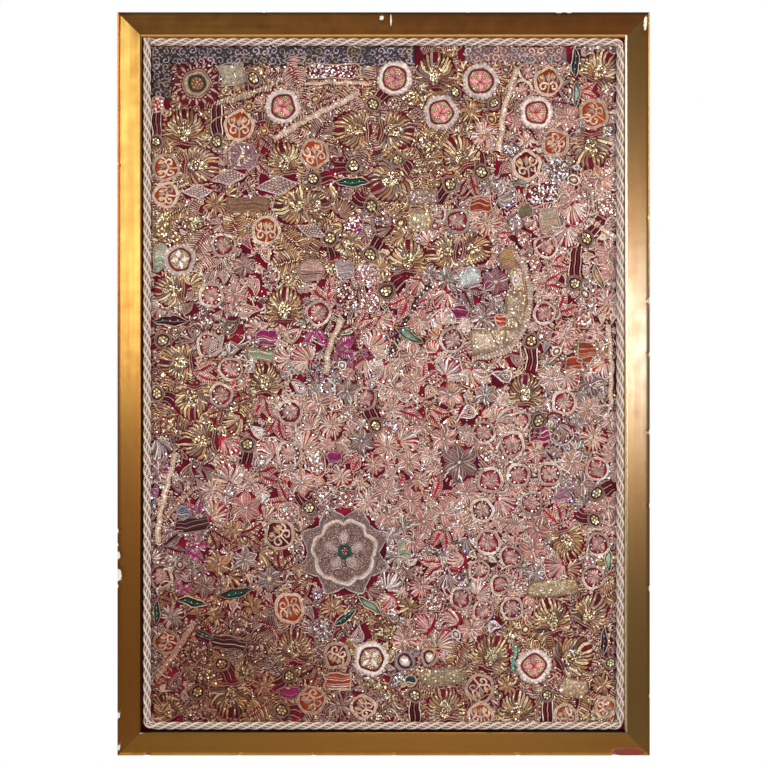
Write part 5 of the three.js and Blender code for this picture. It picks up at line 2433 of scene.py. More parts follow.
@dataclass(frozen=True)
class PiecedPatch(Pattern):
    """A patch of other cloth let into the patchwork, with a corded seam round it."""

    across: float
    down: float
    width: float
    height: float
    turn: float
    cloth: Thread
    facing: Facing = Facing.STRIPED
    colours: Colourway = Colourway.ROSE
    is_round: bool = False
    rise: float = 0.7

    def work(self, hoop: Hoop) -> None:
        """Works the patch.

        Args:
            hoop: a hoop of one millimetre at the cloth's corner
        """
        hoop = replace(hoop, place=Place(self.across, self.down, self.turn), threads=self.colours.value)
        half = np.array([self.width, self.height]) / 2
        turns = np.radians(all_round(24))
        power = 1.0 if self.is_round else 0.42
        shape = np.stack([np.sin(turns), np.cos(turns)], -1)
        outline = np.sign(shape) * np.abs(shape) ** power * half * hoop.rng.uniform(0.9, 1.08, (24, 1))
        is_glitter = self.facing is Facing.GLITTER
        hoop.ground(outline, self.cloth, self.rise, Finish.GLITTER if is_glitter else Finish.SATIN)
        if self.facing is Facing.STRIPED:
            rows = np.arange(-half[1] + 3, half[1] - 2, 4.4)
            reach = half[0] * (1 - np.abs(rows / half[1]) ** (2.0 if self.is_round else 6.0)) ** 0.5
            right = np.linspace(-0.93, 0.93, 7) * reach[:, None]
            wave = 1.6 * np.sin(right / half[0] * 4 + self.across)
            pick = np.where(hoop.rng.random((len(rows), 1)) < 0.5, self.cloth.light, hoop.mixed(len(rows)))
            hoop.lay(np.stack([right, rows[:, None] + wave], -1), 2.8, 1.5, pick, base=self.rise)
        else:
            room = {Facing.GLITTER: 55, Facing.PLAIN: 90, Facing.SEEDED: 17}[self.facing]
            many = int(self.width * self.height / room)
            spots = hoop.rng.uniform(-0.9, 0.9, (many, 2))
            spots = spots[(np.abs(spots) ** (2 / power)).sum(1) < 0.85] * half
            cut = len(spots) // 2
            hoop.spangle(spots[:cut], 1.9, base=self.rise + 0.9)
            hoop.bead(spots[cut:], 1.7, hoop.threads.thread, base=self.rise, mound=Mound.STUD)
        hoop.edge(outline, 3.0, 2.6, section=Section.PAIR)

    def cover(self, spot: Spot) -> tuple[Array, float]:
        """Middles and radius of the discs that the patch covers.

        Args:
            spot: not needed, since the patch knows its place

        Returns:
            The middles and the radius.
        """
        half = np.array([self.width, self.height]) / 2
        reach = half - half.min() + 0.1
        line = evenly(np.array([-reach, reach]), 6.0)
        return Place(self.across, self.down, self.turn).at(line), half.min()


WHOLE = Spot(0, 0, 1)
RING_FLOWERS = (
    Spot(287, 140, 37, 35), Spot(517, 82, 37, 20), Spot(612, 152, 37, 25), Spot(693, 88, 38),
    Spot(808, 152, 35, 45), Spot(75, 455, 34, 10), Spot(468, 1275, 37, 40), Spot(803, 1290, 37, 15))
RING_PETALS = (Thread.PINK, Thread.PINK, Thread.PINK, Thread.PINK, Thread.PINK, Thread.WHITE,
               Thread.WHITE, Thread.PINK)
ORANGE_MEDALLIONS = (
    Spot(197, 180, 31), Spot(47, 265, 28, 90), Spot(47, 322, 26, 90), Spot(352, 238, 30, 20),
    Spot(832, 90, 29), Spot(926, 155, 30, 60), Spot(848, 215, 28, 130), Spot(252, 395, 29),
    Spot(300, 1170, 31, 200), Spot(48, 1240, 26, 80), Spot(347, 1360, 29, 120))
RED_MEDALLIONS = (
    Spot(788, 262, 30, 10), Spot(280, 1020, 31, 45), Spot(398, 1268, 27, 150), Spot(453, 1375, 25, 60),
    Spot(692, 1335, 29, 210))
EDGE_MEDALLIONS = (Spot(693, 1392, 26), Spot(868, 1394, 25, 30), Spot(950, 1375, 22, 300))
RINGED_ROSETTES = (
    Spot(645, 375, 28), Spot(165, 425, 26), Spot(140, 528, 28), Spot(360, 565, 28), Spot(635, 620, 28),
    Spot(828, 428, 26), Spot(160, 733, 27), Spot(713, 908, 29), Spot(835, 895, 27), Spot(708, 1035, 29))
MORE_ROSETTES = (
    Spot(825, 565, 26), Spot(457, 740, 26), Spot(865, 748, 27), Spot(700, 810, 26), Spot(771, 898, 27),
    Spot(933, 885, 26), Spot(696, 970, 27), Spot(797, 955, 26), Spot(935, 1040, 26), Spot(756, 1066, 25),
    Spot(690, 1094, 24), Spot(733, 1122, 22), Spot(652, 1150, 25), Spot(698, 1176, 24), Spot(758, 1172, 26),
    Spot(925, 1108, 26), Spot(36, 1106, 28), Spot(135, 630, 28), Spot(180, 680, 26), Spot(265, 490, 18))
PALMETTES = (
    Spot(85, 185, 44), Spot(600, 68, 44), Spot(507, 292, 48, 120), Spot(920, 228, 44, 180),
    Spot(180, 1358, 42, 180), Spot(885, 1268, 44, -60))
MORE_PALMETTES = (
    Spot(118, 260, 42, -90), Spot(290, 250, 40, 10), Spot(305, 345, 40, 90), Spot(355, 344, 35, -60),
    Spot(430, 188, 42, 90), Spot(520, 190, 42, -90), Spot(650, 238, 40, 30), Spot(545, 450, 40),
    Spot(616, 440, 35, 90), Spot(684, 432, 35, -90), Spot(290, 550, 42), Spot(70, 665, 40, 90),
    Spot(251, 702, 35), Spot(100, 745, 40, 180), Spot(115, 828, 42, 90), Spot(785, 725, 37),
    Spot(872, 1038, 37, 200), Spot(310, 1250, 40), Spot(48, 1375, 35, 30), Spot(620, 1372, 40, 10),
    Spot(716, 1264, 42, -20), Spot(768, 1378, 40), Spot(838, 1190, 42, 15), Spot(920, 1178, 40, -30),
    Spot(942, 62, 40, -30), Spot(55, 518, 37, 90))
BOSSES = (
    Spot(227, 82, 18), Spot(473, 135, 18), Spot(433, 262, 18), Spot(523, 250, 16), Spot(695, 275, 18),
    Spot(630, 300, 18), Spot(350, 290, 17), Spot(468, 345, 18), Spot(383, 412, 18), Spot(467, 445, 18),
    Spot(40, 620, 18), Spot(28, 730, 17), Spot(478, 795, 18), Spot(812, 785, 18), Spot(932, 935, 17),
    Spot(927, 990, 17), Spot(162, 1285, 18), Spot(113, 1343, 18), Spot(300, 1310, 17),
    Spot(285, 1380, 18), Spot(340, 965, 16), Spot(215, 835, 18), Spot(500, 520, 20))
STEMMED_BOSSES = (
    (Spot(797, 622, 18), 2.4), (Spot(557, 1350, 17), 2.4), (Spot(830, 1350, 16), 2.4),
    (Spot(152, 212, 17, 180), 3.4), (Spot(28, 212, 15, 180), 3.4), (Spot(886, 503, 18, 176), 3.0),
    (Spot(910, 411, 18, 140), 1.7))
KNOTS = (
    Spot(218, 615, 11), Spot(885, 290, 14), Spot(850, 642, 12), Spot(408, 672, 11), Spot(765, 497, 10),
    Spot(908, 525, 12), Spot(75, 1082, 11), Spot(787, 1215, 12), Spot(643, 1225, 12), Spot(218, 140, 11),
    Spot(250, 190, 10), Spot(745, 65, 10), Spot(598, 385, 10), Spot(352, 125, 12), Spot(530, 380, 12),
    Spot(715, 165, 12), Spot(537, 1280, 24), Spot(588, 1272, 22))
PETAL_FLOWERS = (
    Spot(210, 965, 35), Spot(155, 1080, 28), Spot(210, 1072, 26), Spot(125, 1125, 26), Spot(421, 726, 28),
    Spot(618, 822, 30), Spot(650, 872, 42), Spot(548, 950, 30), Spot(703, 733, 24), Spot(765, 1000, 24),
    Spot(545, 870, 28), Spot(326, 912, 30), Spot(450, 828, 28), Spot(630, 732, 30),
    Spot(207, 468, 26), Spot(558, 1035, 24))
EYED_FLOWERS = (
    (Spot(204, 242, 21), Thread.MAGENTA, Colourway.LILAC),
    (Spot(724, 499, 30), Thread.MAGENTA, Colourway.LILAC),
    (Spot(260, 1111, 28), Thread.BOTTLE, Colourway.SILVER))
BURSTS = (
    Spot(150, 340, 26), Spot(675, 150, 24), Spot(788, 210, 20), Spot(388, 795, 30), Spot(474, 876, 24),
    Spot(406, 900, 24), Spot(445, 915, 20), Spot(570, 908, 22), Spot(926, 820, 30), Spot(808, 850, 24),
    Spot(59, 1187, 28), Spot(149, 1185, 24), Spot(225, 1165, 24), Spot(246, 1333, 24), Spot(943, 1328, 24),
    Spot(748, 1330, 22), Spot(570, 1125, 26), Spot(545, 1170, 24), Spot(390, 1170, 26))
LOZENGES = (
    Spot(105, 382, 36), Spot(130, 1309, 32, 10), Spot(473, 1328, 26), Spot(520, 1318, 24, 45),
    Spot(517, 1380, 27), Spot(422, 775, 22), Spot(765, 1118, 24), Spot(568, 270, 24, 30))
LACED_LOZENGES = (
    Spot(176, 286, 37, 8), Spot(275, 302, 44, 6), Spot(112, 315, 32, 4), Spot(150, 632, 30, 60),
    Spot(345, 395, 32, -20))
PODS = (
    (Spot(430, 295, 36, 90), Thread.BOTTLE), (Spot(99, 1158, 32, 80), Thread.BOTTLE),
    (Spot(189, 1140, 36, 100), Thread.BOTTLE), (Spot(28, 1180, 26), Thread.BOTTLE),
    (Spot(466, 1165, 30, 55), Thread.SAGE), (Spot(416, 1190, 30, -55), Thread.BOTTLE),
    (Spot(956, 1072, 26), Thread.MINT), (Spot(888, 50, 30), Thread.SOOT),
    (Spot(55, 580, 38, 90), Thread.MAROON), (Spot(935, 490, 28, 20), Thread.PEACH),
    (Spot(947, 1238, 28), Thread.MAROON),
    (Spot(890, 115, 28), Thread.SKY), (Spot(740, 553, 12), Thread.BLUE),
    (Spot(545, 610, 34, 60), Thread.SAGE), (Spot(310, 45, 24, 90), Thread.PINK))
BRAIDS = (
    ((152, 131), (190, 124), (230, 109), (262, 101)),
    ((268, 208), (305, 184), (350, 160), (400, 134), (443, 110)),
    ((768, 60), (756, 100), (742, 145), (736, 190), (731, 232)),
    ((765, 440), (786, 480), (795, 520), (793, 562), (779, 600), (752, 636), (715, 652), (678, 658)),
    ((410, 575), (392, 610), (380, 650), (376, 690)),
    ((66, 852), (50, 915), (36, 975), (28, 1040)))
EDGE_BRAIDS = (
    (((335, 93), (400, 91), (470, 93)), Thread.CREAM, 9.0),
    (((105, 925), (70, 960), (45, 990)), Thread.FAWN, 9.0),
    (((104, 1200), (70, 1255), (27, 1318)), Thread.ROSE, 14.0),
    (((922, 308), (924, 352)), Thread.CREAM, 9.0),
    (((915, 372), (945, 392), (972, 412)), Thread.CREAM, 13.0),
    (((955, 590), (962, 670), (960, 760)), Thread.CREAM, 12.0),
    (((590, 505), (550, 560), (510, 650)), Thread.SLATE, 7.0),
    (((765, 1250), (758, 1300)), Thread.SEA, 9.0))
GLITTER_PANELS = (
    PiecedPatch(615, 1312, 100, 36, 5, Thread.CHAMPAGNE, Facing.GLITTER, Colourway.GOLD, rise=2.2),
    PiecedPatch(845, 1130, 100, 36, 4, Thread.CHAMPAGNE, Facing.GLITTER, Colourway.GOLD, rise=2.2),
    PiecedPatch(885, 1335, 56, 38, -12, Thread.CHAMPAGNE, Facing.GLITTER, Colourway.GOLD, rise=2.2),
    PiecedPatch(568, 375, 50, 46, 0, Thread.CHAMPAGNE, Facing.GLITTER, Colourway.GOLD, rise=2.2))
PIECED_PATCHES = (
    PiecedPatch(182, 74, 54, 48, 0, Thread.LICHEN, Facing.PLAIN, Colourway.SILVER),
    PiecedPatch(204, 242, 56, 54, 0, Thread.VIOLET, Facing.PLAIN, Colourway.LILAC),
    PiecedPatch(100, 1000, 76, 28, 10, Thread.MAROON, Facing.STRIPED, Colourway.DUSK),
    PiecedPatch(176, 1243, 78, 28, -8, Thread.MAROON, Facing.STRIPED, Colourway.DUSK),
    PiecedPatch(82, 976, 26, 26, 0, Thread.BLUE, Facing.STRIPED, Colourway.SILVER, is_round=True),
    PiecedPatch(215, 342, 90, 30, 0, Thread.DULL_GOLD, Facing.STRIPED, Colourway.GOLD),
    PiecedPatch(575, 325, 60, 30, 0, Thread.MAUVE, Facing.SEEDED, Colourway.DUSK),
    PiecedPatch(770, 500, 28, 70, 12, Thread.CHAMPAGNE, Facing.GLITTER, Colourway.GOLD),
    PiecedPatch(766, 560, 44, 84, 0, Thread.CHAMPAGNE, Facing.GLITTER, Colourway.GOLD, rise=0.8),
    PiecedPatch(748, 604, 60, 50, 34, Thread.CHAMPAGNE, Facing.GLITTER, Colourway.GOLD, rise=0.9),
    PiecedPatch(708, 620, 74, 50, 6, Thread.CHAMPAGNE, Facing.GLITTER, Colourway.PEARL, rise=1.0),
    PiecedPatch(38, 380, 38, 56, 0, Thread.OCHRE, Facing.SEEDED, Colourway.GOLD),
    PiecedPatch(750, 450, 34, 44, 0, Thread.OLD_GOLD, Facing.STRIPED, Colourway.GOLD),
    PiecedPatch(835, 375, 40, 50, 10, Thread.LICHEN, Facing.STRIPED, Colourway.PEARL),
    PiecedPatch(33, 450, 24, 56, 0, Thread.SAGE, Facing.STRIPED, Colourway.ROSE),
    PiecedPatch(693, 340, 44, 34, 0, Thread.ORANGE, Facing.STRIPED, Colourway.PEARL),
    PiecedPatch(400, 1322, 56, 34, 0, Thread.ORANGE, Facing.STRIPED, Colourway.PEARL),
    PiecedPatch(912, 645, 40, 44, 0, Thread.ORANGE, Facing.STRIPED, Colourway.PEARL),
    PiecedPatch(30, 136, 28, 30, 0, Thread.FLAME, Facing.SEEDED, Colourway.PEARL),
    PiecedPatch(460, 71, 36, 20, 0, Thread.BOTTLE, Facing.STRIPED, Colourway.ROSE),
    PiecedPatch(536, 1050, 26, 42, 0, Thread.SAGE, Facing.STRIPED, Colourway.ROSE),
    PiecedPatch(549, 1320, 24, 22, 0, Thread.BOTTLE, Facing.STRIPED, Colourway.ROSE, is_round=True),
    PiecedPatch(785, 355, 30, 32, 0, Thread.OLIVE, Facing.STRIPED, Colourway.PEARL, is_round=True),
    PiecedPatch(670, 489, 44, 34, 10, Thread.SKY, Facing.PLAIN, Colourway.SILVER),
    PiecedPatch(435, 385, 34, 40, 20, Thread.MAGENTA, Facing.SEEDED, Colourway.LILAC),
    PiecedPatch(255, 615, 44, 30, 0, Thread.MAGENTA, Facing.STRIPED, Colourway.LILAC),
    PiecedPatch(392, 859, 30, 26, 0, Thread.MAGENTA, Facing.STRIPED, Colourway.LILAC, is_round=True),
    PiecedPatch(815, 815, 42, 32, 8, Thread.MAGENTA, Facing.STRIPED, Colourway.PEARL),
    PiecedPatch(420, 530, 48, 56, 0, Thread.WINE, Facing.SEEDED, Colourway.DUSK),
    PiecedPatch(765, 378, 32, 32, 0, Thread.LILAC, Facing.SEEDED, Colourway.LILAC, is_round=True),
    PiecedPatch(240, 650, 60, 22, -8, Thread.SAGE, Facing.STRIPED, Colourway.GOLD),
    PiecedPatch(390, 67, 110, 30, 0, Thread.WINE, Facing.SEEDED, Colourway.PEARL),
    PiecedPatch(820, 318, 70, 46, 12, Thread.OXBLOOD, Facing.SEEDED, Colourway.PEARL),
    PiecedPatch(415, 475, 36, 34, 0, Thread.ASH, Facing.STRIPED, Colourway.SILVER),
    PiecedPatch(345, 478, 54, 44, 0, Thread.ROSE, Facing.STRIPED, Colourway.DUSK, is_round=True),
    PiecedPatch(650, 563, 40, 30, 0, Thread.MAGENTA, Facing.STRIPED, Colourway.PEARL, is_round=True),
    PiecedPatch(860, 940, 36, 32, 0, Thread.LILAC, Facing.STRIPED, Colourway.LILAC, is_round=True),
    PiecedPatch(300, 1345, 40, 22, 0, Thread.MAGENTA, Facing.STRIPED, Colourway.LILAC),
    PiecedPatch(735, 580, 26, 26, 0, Thread.FLAME, Facing.STRIPED, Colourway.PEARL, is_round=True),
    PiecedPatch(885, 668, 36, 26, 0, Thread.ORANGE, Facing.STRIPED, Colourway.PEARL))
BORDERS = (
    Brocade((18, 36), (558, 36), 38, Thread.SLATE, Thread.MIST),
    Brocade((38, 50), (38, 124), 42, Thread.SLATE, Thread.MIST),
    Brocade((660, 33), (870, 33), 32, Thread.VIOLET, Thread.SHELL, Thread.SKY))


class Layout:
    """Keeps account of how much room the cloth has left, on a grid of small squares."""

    SQUARE = 2.0
    FAR = 40.0

    def __init__(self, ground: Ground) -> None:
        """Starts with all the cloth inside the rope free.

        Args:
            ground: the face of the cloth
        """
        self.size = ground.hanging.sight
        self.down, self.across = np.mgrid[0:self.size[1]:self.SQUARE, 0:self.size[0]:self.SQUARE]
        edge = ground.from_edge(self.across, self.down) - ROPE_FROM_SIGHT_EDGE - 1
        self.room = np.minimum(edge, self.FAR)

    def claim(self, spots: Array, radius: float) -> None:
        """Marks discs round spots as covered.

        Args:
            spots: one middle, or several
            radius: the radius of the discs
        """
        reach = radius + self.FAR
        for spot in np.reshape(spots, (-1, 2)):
            low = np.maximum((spot - reach) / self.SQUARE, 0).astype(int)
            high = ((spot + reach) / self.SQUARE).astype(int) + 1
            here = np.s_[low[1]:max(high[1], 0), low[0]:max(high[0], 0)]
            off = np.hypot(self.across[here] - spot[0], self.down[here] - spot[1])
            self.room[here] = np.minimum(self.room[here], off - radius)

    def room_at(self, spots: Array) -> Array:
        """How much room is left at spots on the cloth."""
        square = np.clip((spots / self.SQUARE).astype(int), 0, np.array(self.room.shape[::-1]) - 1)
        return self.room[square[:, 1], square[:, 0]]

    def pick(self, rng: np.random.Generator, radius: float) -> Array | None:
        """A random place with room for a radius, or nothing where none is left.

        Args:
            rng: the run of random draws
            radius: the room that is needed

        Returns:
            The place, or nothing.
        """
        free = np.flatnonzero(self.room.ravel() >= radius)
        if not len(free):
            return None
        chosen = free[rng.integers(len(free))]
        return np.array([self.across.flat[chosen], self.down.flat[chosen]]) + rng.uniform(-1, 1, 2)


@dataclass(frozen=True)
class Job:
    """A pattern, the spot where it is worked, and its colours."""

    pattern: Pattern
    spot: Spot
    colours: Colourway = Colourway.ROSE

    def work(self, cloth: Stitchery, lift: float = 0.0) -> None:
        """Works the pattern on a piece."""
        self.pattern.work(Hoop(cloth, self.spot.place, self.spot.radius, self.colours.value, lift))


class Taste(Enum):
    """What a zone of the patchwork is mostly filled with, and how often each pattern comes."""

    FLOWERY = ((Burst, 18), (PetalFlower, 32), (Fan, 26), (LeafPair, 6), (Curl, 8), (BeadField, 16),
               (RingedRosette, 10))
    LEAFY = ((Plume, 34), (Palmette, 14), (Fan, 14), (Boss, 8), (Ladder, 12), (BeadField, 10), (LeafPair, 8))
    SCROLLED = ((Curl, 30), (Fan, 22), (LeafPair, 20), (Burst, 10), (BeadField, 10), (Pod, 8))


@dataclass(frozen=True)
class Zone:
    """A part of the patchwork with its own taste and colours."""

    across: float
    down: float
    spread: float
    taste: Taste
    colours: tuple[Colourway, ...]


GOLDEN = (Colourway.GOLD, Colourway.GOLD, Colourway.GOLD, Colourway.COPPER, Colourway.DUSK)
ROSY = (Colourway.ROSE, Colourway.PEARL, Colourway.PEARL, Colourway.ROSE, Colourway.SILVER)
SILVERY = (Colourway.SILVER, Colourway.PEARL, Colourway.DUSK, Colourway.LILAC)
DUSKY = (Colourway.GOLD, Colourway.GOLD, Colourway.DUSK, Colourway.SILVER)
ZONES = (
    Zone(90, 250, 90, Taste.LEAFY, GOLDEN), Zone(480, 200, 110, Taste.LEAFY, GOLDEN),
    Zone(300, 300, 80, Taste.LEAFY, GOLDEN), Zone(560, 430, 60, Taste.LEAFY, GOLDEN),
    Zone(90, 760, 70, Taste.LEAFY, GOLDEN), Zone(880, 1200, 90, Taste.LEAFY, GOLDEN),
    Zone(720, 1300, 90, Taste.LEAFY, GOLDEN), Zone(900, 1340, 70, Taste.LEAFY, GOLDEN),
    Zone(230, 1300, 80, Taste.LEAFY, DUSKY), Zone(60, 1320, 60, Taste.SCROLLED, DUSKY),
    Zone(850, 330, 90, Taste.FLOWERY, ROSY), Zone(640, 540, 90, Taste.FLOWERY, ROSY),
    Zone(250, 720, 90, Taste.FLOWERY, ROSY), Zone(500, 760, 110, Taste.FLOWERY, ROSY),
    Zone(760, 760, 110, Taste.FLOWERY, ROSY), Zone(560, 960, 100, Taste.FLOWERY, ROSY),
    Zone(780, 1000, 110, Taste.FLOWERY, ROSY), Zone(620, 1150, 80, Taste.FLOWERY, ROSY),
    Zone(900, 560, 90, Taste.FLOWERY, ROSY), Zone(440, 560, 60, Taste.SCROLLED, SILVERY),
    Zone(120, 580, 60, Taste.SCROLLED, SILVERY), Zone(80, 950, 60, Taste.SCROLLED, SILVERY),
    Zone(240, 900, 80, Taste.SCROLLED, ROSY), Zone(150, 1150, 80, Taste.SCROLLED, DUSKY),
    Zone(450, 1170, 70, Taste.SCROLLED, DUSKY), Zone(520, 1330, 60, Taste.SCROLLED, DUSKY))


@dataclass(frozen=True)
class Remnant:
    """A scrap of an older textile in the patchwork: its middle, patterns, colours and lie."""

    middle: Array
    kinds: tuple[type, ...]
    colours: tuple[Colourway, Colourway]
    turn: float


@dataclass(frozen=True)
class Filling:
    """The small work that packs the cloth between the named motifs, scrap by scrap."""

    sizes: tuple[float, ...] = (27.0, 21.0, 16.0, 12.0, 9.0, 6.5)
    large: float = 15.0
    overlap: float = 0.2
    remnants: int = 190
    pitch: float = 4.6
    sparkle: int = 2800
    glints: int = 1400
    trails: int = 260
    small: float = 8.0
    widest: float = 15.0
    margin: float = 18.0
    over_margin: float = 20.0
    bare_room: float = 0.4

    @staticmethod
    def zone(rng: np.random.Generator, across: float, down: float) -> Zone:
        """The zone that a place takes its work from, its neighbours mixed in.

        Args:
            rng: the run of random draws
            across: how far across the place lies
            down: how far down it lies

        Returns:
            The zone.
        """
        off = np.array([((zone.across - across)**2 + (zone.down - down)**2) / zone.spread**2
                        for zone in ZONES])
        weights = np.exp(-(off - off.min()) / 1.2)
        return ZONES[rng.choice(len(ZONES), p=weights / weights.sum())]

    def cut(self, rng: np.random.Generator, size: tuple[float, float]) -> list[Remnant]:
        """Cuts the remnants, each in the taste of its zone.

        Args:
            rng: the run of random draws
            size: the cloth's width and height

        Returns:
            The remnants.
        """
        made = []
        for across, down in rng.uniform(0, size, (self.remnants, 2)):
            zone = self.zone(rng, across, down)
            kinds = [kind for kind, _ in zone.taste.value]
            often = np.array([share for _, share in zone.taste.value], float)
            picked = rng.choice(len(kinds), 3, replace=False, p=often / often.sum())
            colours = [zone.colours[index] for index in rng.integers(len(zone.colours), size=2)]
            made.append(Remnant(np.array([across, down]), tuple(kinds[index] for index in picked),
                                tuple(colours), rng.uniform(0, 360)))
        return made

    def job(self, rng: np.random.Generator, remnant: Remnant, spot: Array, radius: float) -> Job:
        """Draws a pattern that suits a remnant and a size.

        Args:
            rng: the run of random draws
            remnant: the remnant that the spot lies in
            spot: where the pattern goes
            radius: the room for it

        Returns:
            The pattern at its spot, in its colours.
        """
        kinds = [kind for kind in remnant.kinds if radius > self.large
                 or kind not in (Palmette, RingedRosette, Boss, BeadField, Ladder)]
        kind = kinds[rng.choice(len(kinds))] if kinds else Fan
        if radius < self.small:
            kind = Dab if rng.random() < 0.75 else Knot
        options = {}
        if kind is PetalFlower:
            options["petals"] = int(rng.integers(4, 5 if radius < 11 else 8))
        if kind is Curl:
            options["hand"] = int(rng.choice([-1, 1]))
        if kind is Fan:
            options["sweep"] = rng.uniform(90, 190)
        if kind is BeadField:
            options = {"corners": int(rng.choice([0, 4, 4, 6])), "shape": rng.uniform(0.6, 1.0)}
        if kind is Pod:
            options["satin"] = (Thread.BOTTLE, Thread.SAGE, Thread.MAROON, Thread.RUST)[rng.integers(4)]
        colours = remnant.colours[int(rng.random() < 0.25)]
        reach = min(radius, self.widest) if kind in (Boss, Knot) else radius * rng.uniform(1.0, 1.12)
        return Job(kind(**options), Spot(*spot, reach, remnant.turn + rng.normal(0, 32)), colours)

    def fill(self, layout: Layout, pieces: list[Stitchery], rng: np.random.Generator) -> None:
        """Fills the free cloth, large patterns first.

        Args:
            layout: the room that is left, which this takes up
            pieces: the pieces of filling, from the top down
            rng: the run of random draws
        """
        remnants = self.cut(rng, layout.size)
        middles = np.stack([remnant.middle for remnant in remnants])
        for size in self.sizes:
            room = size * (1 - self.overlap)
            while (spot := layout.pick(rng, room)) is not None:
                layout.claim(spot, room)
                remnant = remnants[int(np.argmin(np.linalg.norm(middles - spot, axis=1)))]
                piece = pieces[min(int(spot[1] / layout.size[1] * len(pieces)), len(pieces) - 1)]
                self.job(rng, remnant, spot, size).work(piece, rng.uniform(0, 0.9))

    def scatter(self, layout: Layout, named: Layout, pieces: list[Stitchery],
                rng: np.random.Generator) -> None:
        """Sews what lies over the other work, and short threads and beads where the ground still shows.

        Args:
            layout: the room that the filling has left
            named: the room between the named motifs
            pieces: the pieces of filling, from the top down
            rng: the run of random draws
        """
        width, height = layout.size
        start = self.margin
        down, across = np.mgrid[start:height - start:self.pitch * 0.87, start:width - start:self.pitch]
        across[1::2] += self.pitch / 2
        spots = np.stack([across, down], -1).reshape(-1, 2) + rng.normal(0, 0.8, (across.size, 2))
        spots = spots[layout.room_at(spots) > self.bare_room]
        LOG.info("%d loose beads and threads", len(spots))
        share = spots[:, 1] / height * len(pieces)
        for index, piece in enumerate(pieces):
            here = spots[(share >= index) & (share < index + 1)]
            hoop = Hoop(piece, Place(0, 0), 1.0, (Colourway.GOLD, Colourway.PEARL)[index % 2].value)
            self.sew(hoop, here, rng)
            over = []
            for many in (self.sparkle, self.glints, self.trails):
                low, high = (self.over_margin, index), (width - self.over_margin, index + 1)
                drawn = rng.uniform(low, high, (many // len(pieces), 2))
                drawn = drawn * (1, height / len(pieces))
                over.append(drawn[named.room_at(drawn) > -1])
            piece.spangles(over[0], 1.5, Thread.PALE, 3.4, 12)
            self.glint(hoop, over[1], rng)
            self.trail(hoop, over[2], rng)

    @staticmethod
    def flow(spots: Array, rng: np.random.Generator) -> Array:
        """The way that threads lie at spots, much as their neighbours do."""
        return 90 * np.sin(spots[:, 0] / 37 + 2 * np.sin(spots[:, 1] / 61)) + rng.normal(0, 20, len(spots))

    def glint(self, hoop: Hoop, spots: Array, rng: np.random.Generator) -> None:
        """Sews a short bright bar of bullion over the other work at each spot.

        Args:
            hoop: a hoop of one millimetre at the cloth's corner
            spots: where the bars lie
            rng: the run of random draws
        """
        golden = np.array([self.zone(rng, *spot).taste is Taste.LEAFY for spot in spots])
        lean = self.flow(spots, rng)
        for chosen, thread in ((golden, Thread.BRIGHT_GOLD), (~golden, Thread.WHITE)):
            hoop.bar(spots[chosen] * (1, -1), 8.0, lean[chosen], 3.0, 1.6, thread, 2.6)

    def trail(self, hoop: Hoop, spots: Array, rng: np.random.Generator) -> None:
        """Couches a curved cord over the other work from each spot: long in gold, short in white.

        Args:
            hoop: a hoop of one millimetre at the cloth's corner
            spots: where the cords start
            rng: the run of random draws
        """
        golden = np.array([self.zone(rng, *spot).taste is Taste.LEAFY for spot in spots])
        cords = ((golden, Thread.OLD_GOLD, 6.5, 3.8), (~golden, Thread.PALE, 3.4, 3.6))
        for chosen, thread, step, width in cords:
            starts = spots[chosen] * (1, -1)
            many = len(starts)
            heading = self.flow(spots[chosen], rng)[:, None] + rng.normal(0, 11, (many, 1)) * np.arange(9)
            lines = starts[:, None] + np.cumsum(polar(np.full((many, 9), step), heading), 1)
            hoop.lay(lines, width * np.sin(np.linspace(0.3, 2.8, 9)), 2.4, thread, Section.CORD, base=2.0)

    def sew(self, hoop: Hoop, spots: Array, rng: np.random.Generator) -> None:
        """Sews one short thread, bead or sequin at each spot, the threads lying as their neighbours.

        Args:
            hoop: a hoop of one millimetre at the cloth's corner
            spots: where they are sewn
            rng: the run of random draws
        """
        kind = rng.random(len(spots))
        flow = self.flow(spots, rng)
        spots = spots * (1, -1)
        threads, beads = kind < 0.6, (kind >= 0.6) & (kind < 0.75)
        along = polar(np.ones(len(spots)), flow)[:, None] * np.array([-3.4, 0, 3.4])[:, None]
        hoop.lay((spots[:, None] + along)[threads], 3.4, 1.5, base=0.2)
        hoop.bead(spots[beads], 1.8, base=0.2, mound=Mound.STUD, finish=Finish.METAL)
        hoop.spangle(spots[kind > 0.86], 2.0, base=1.0)


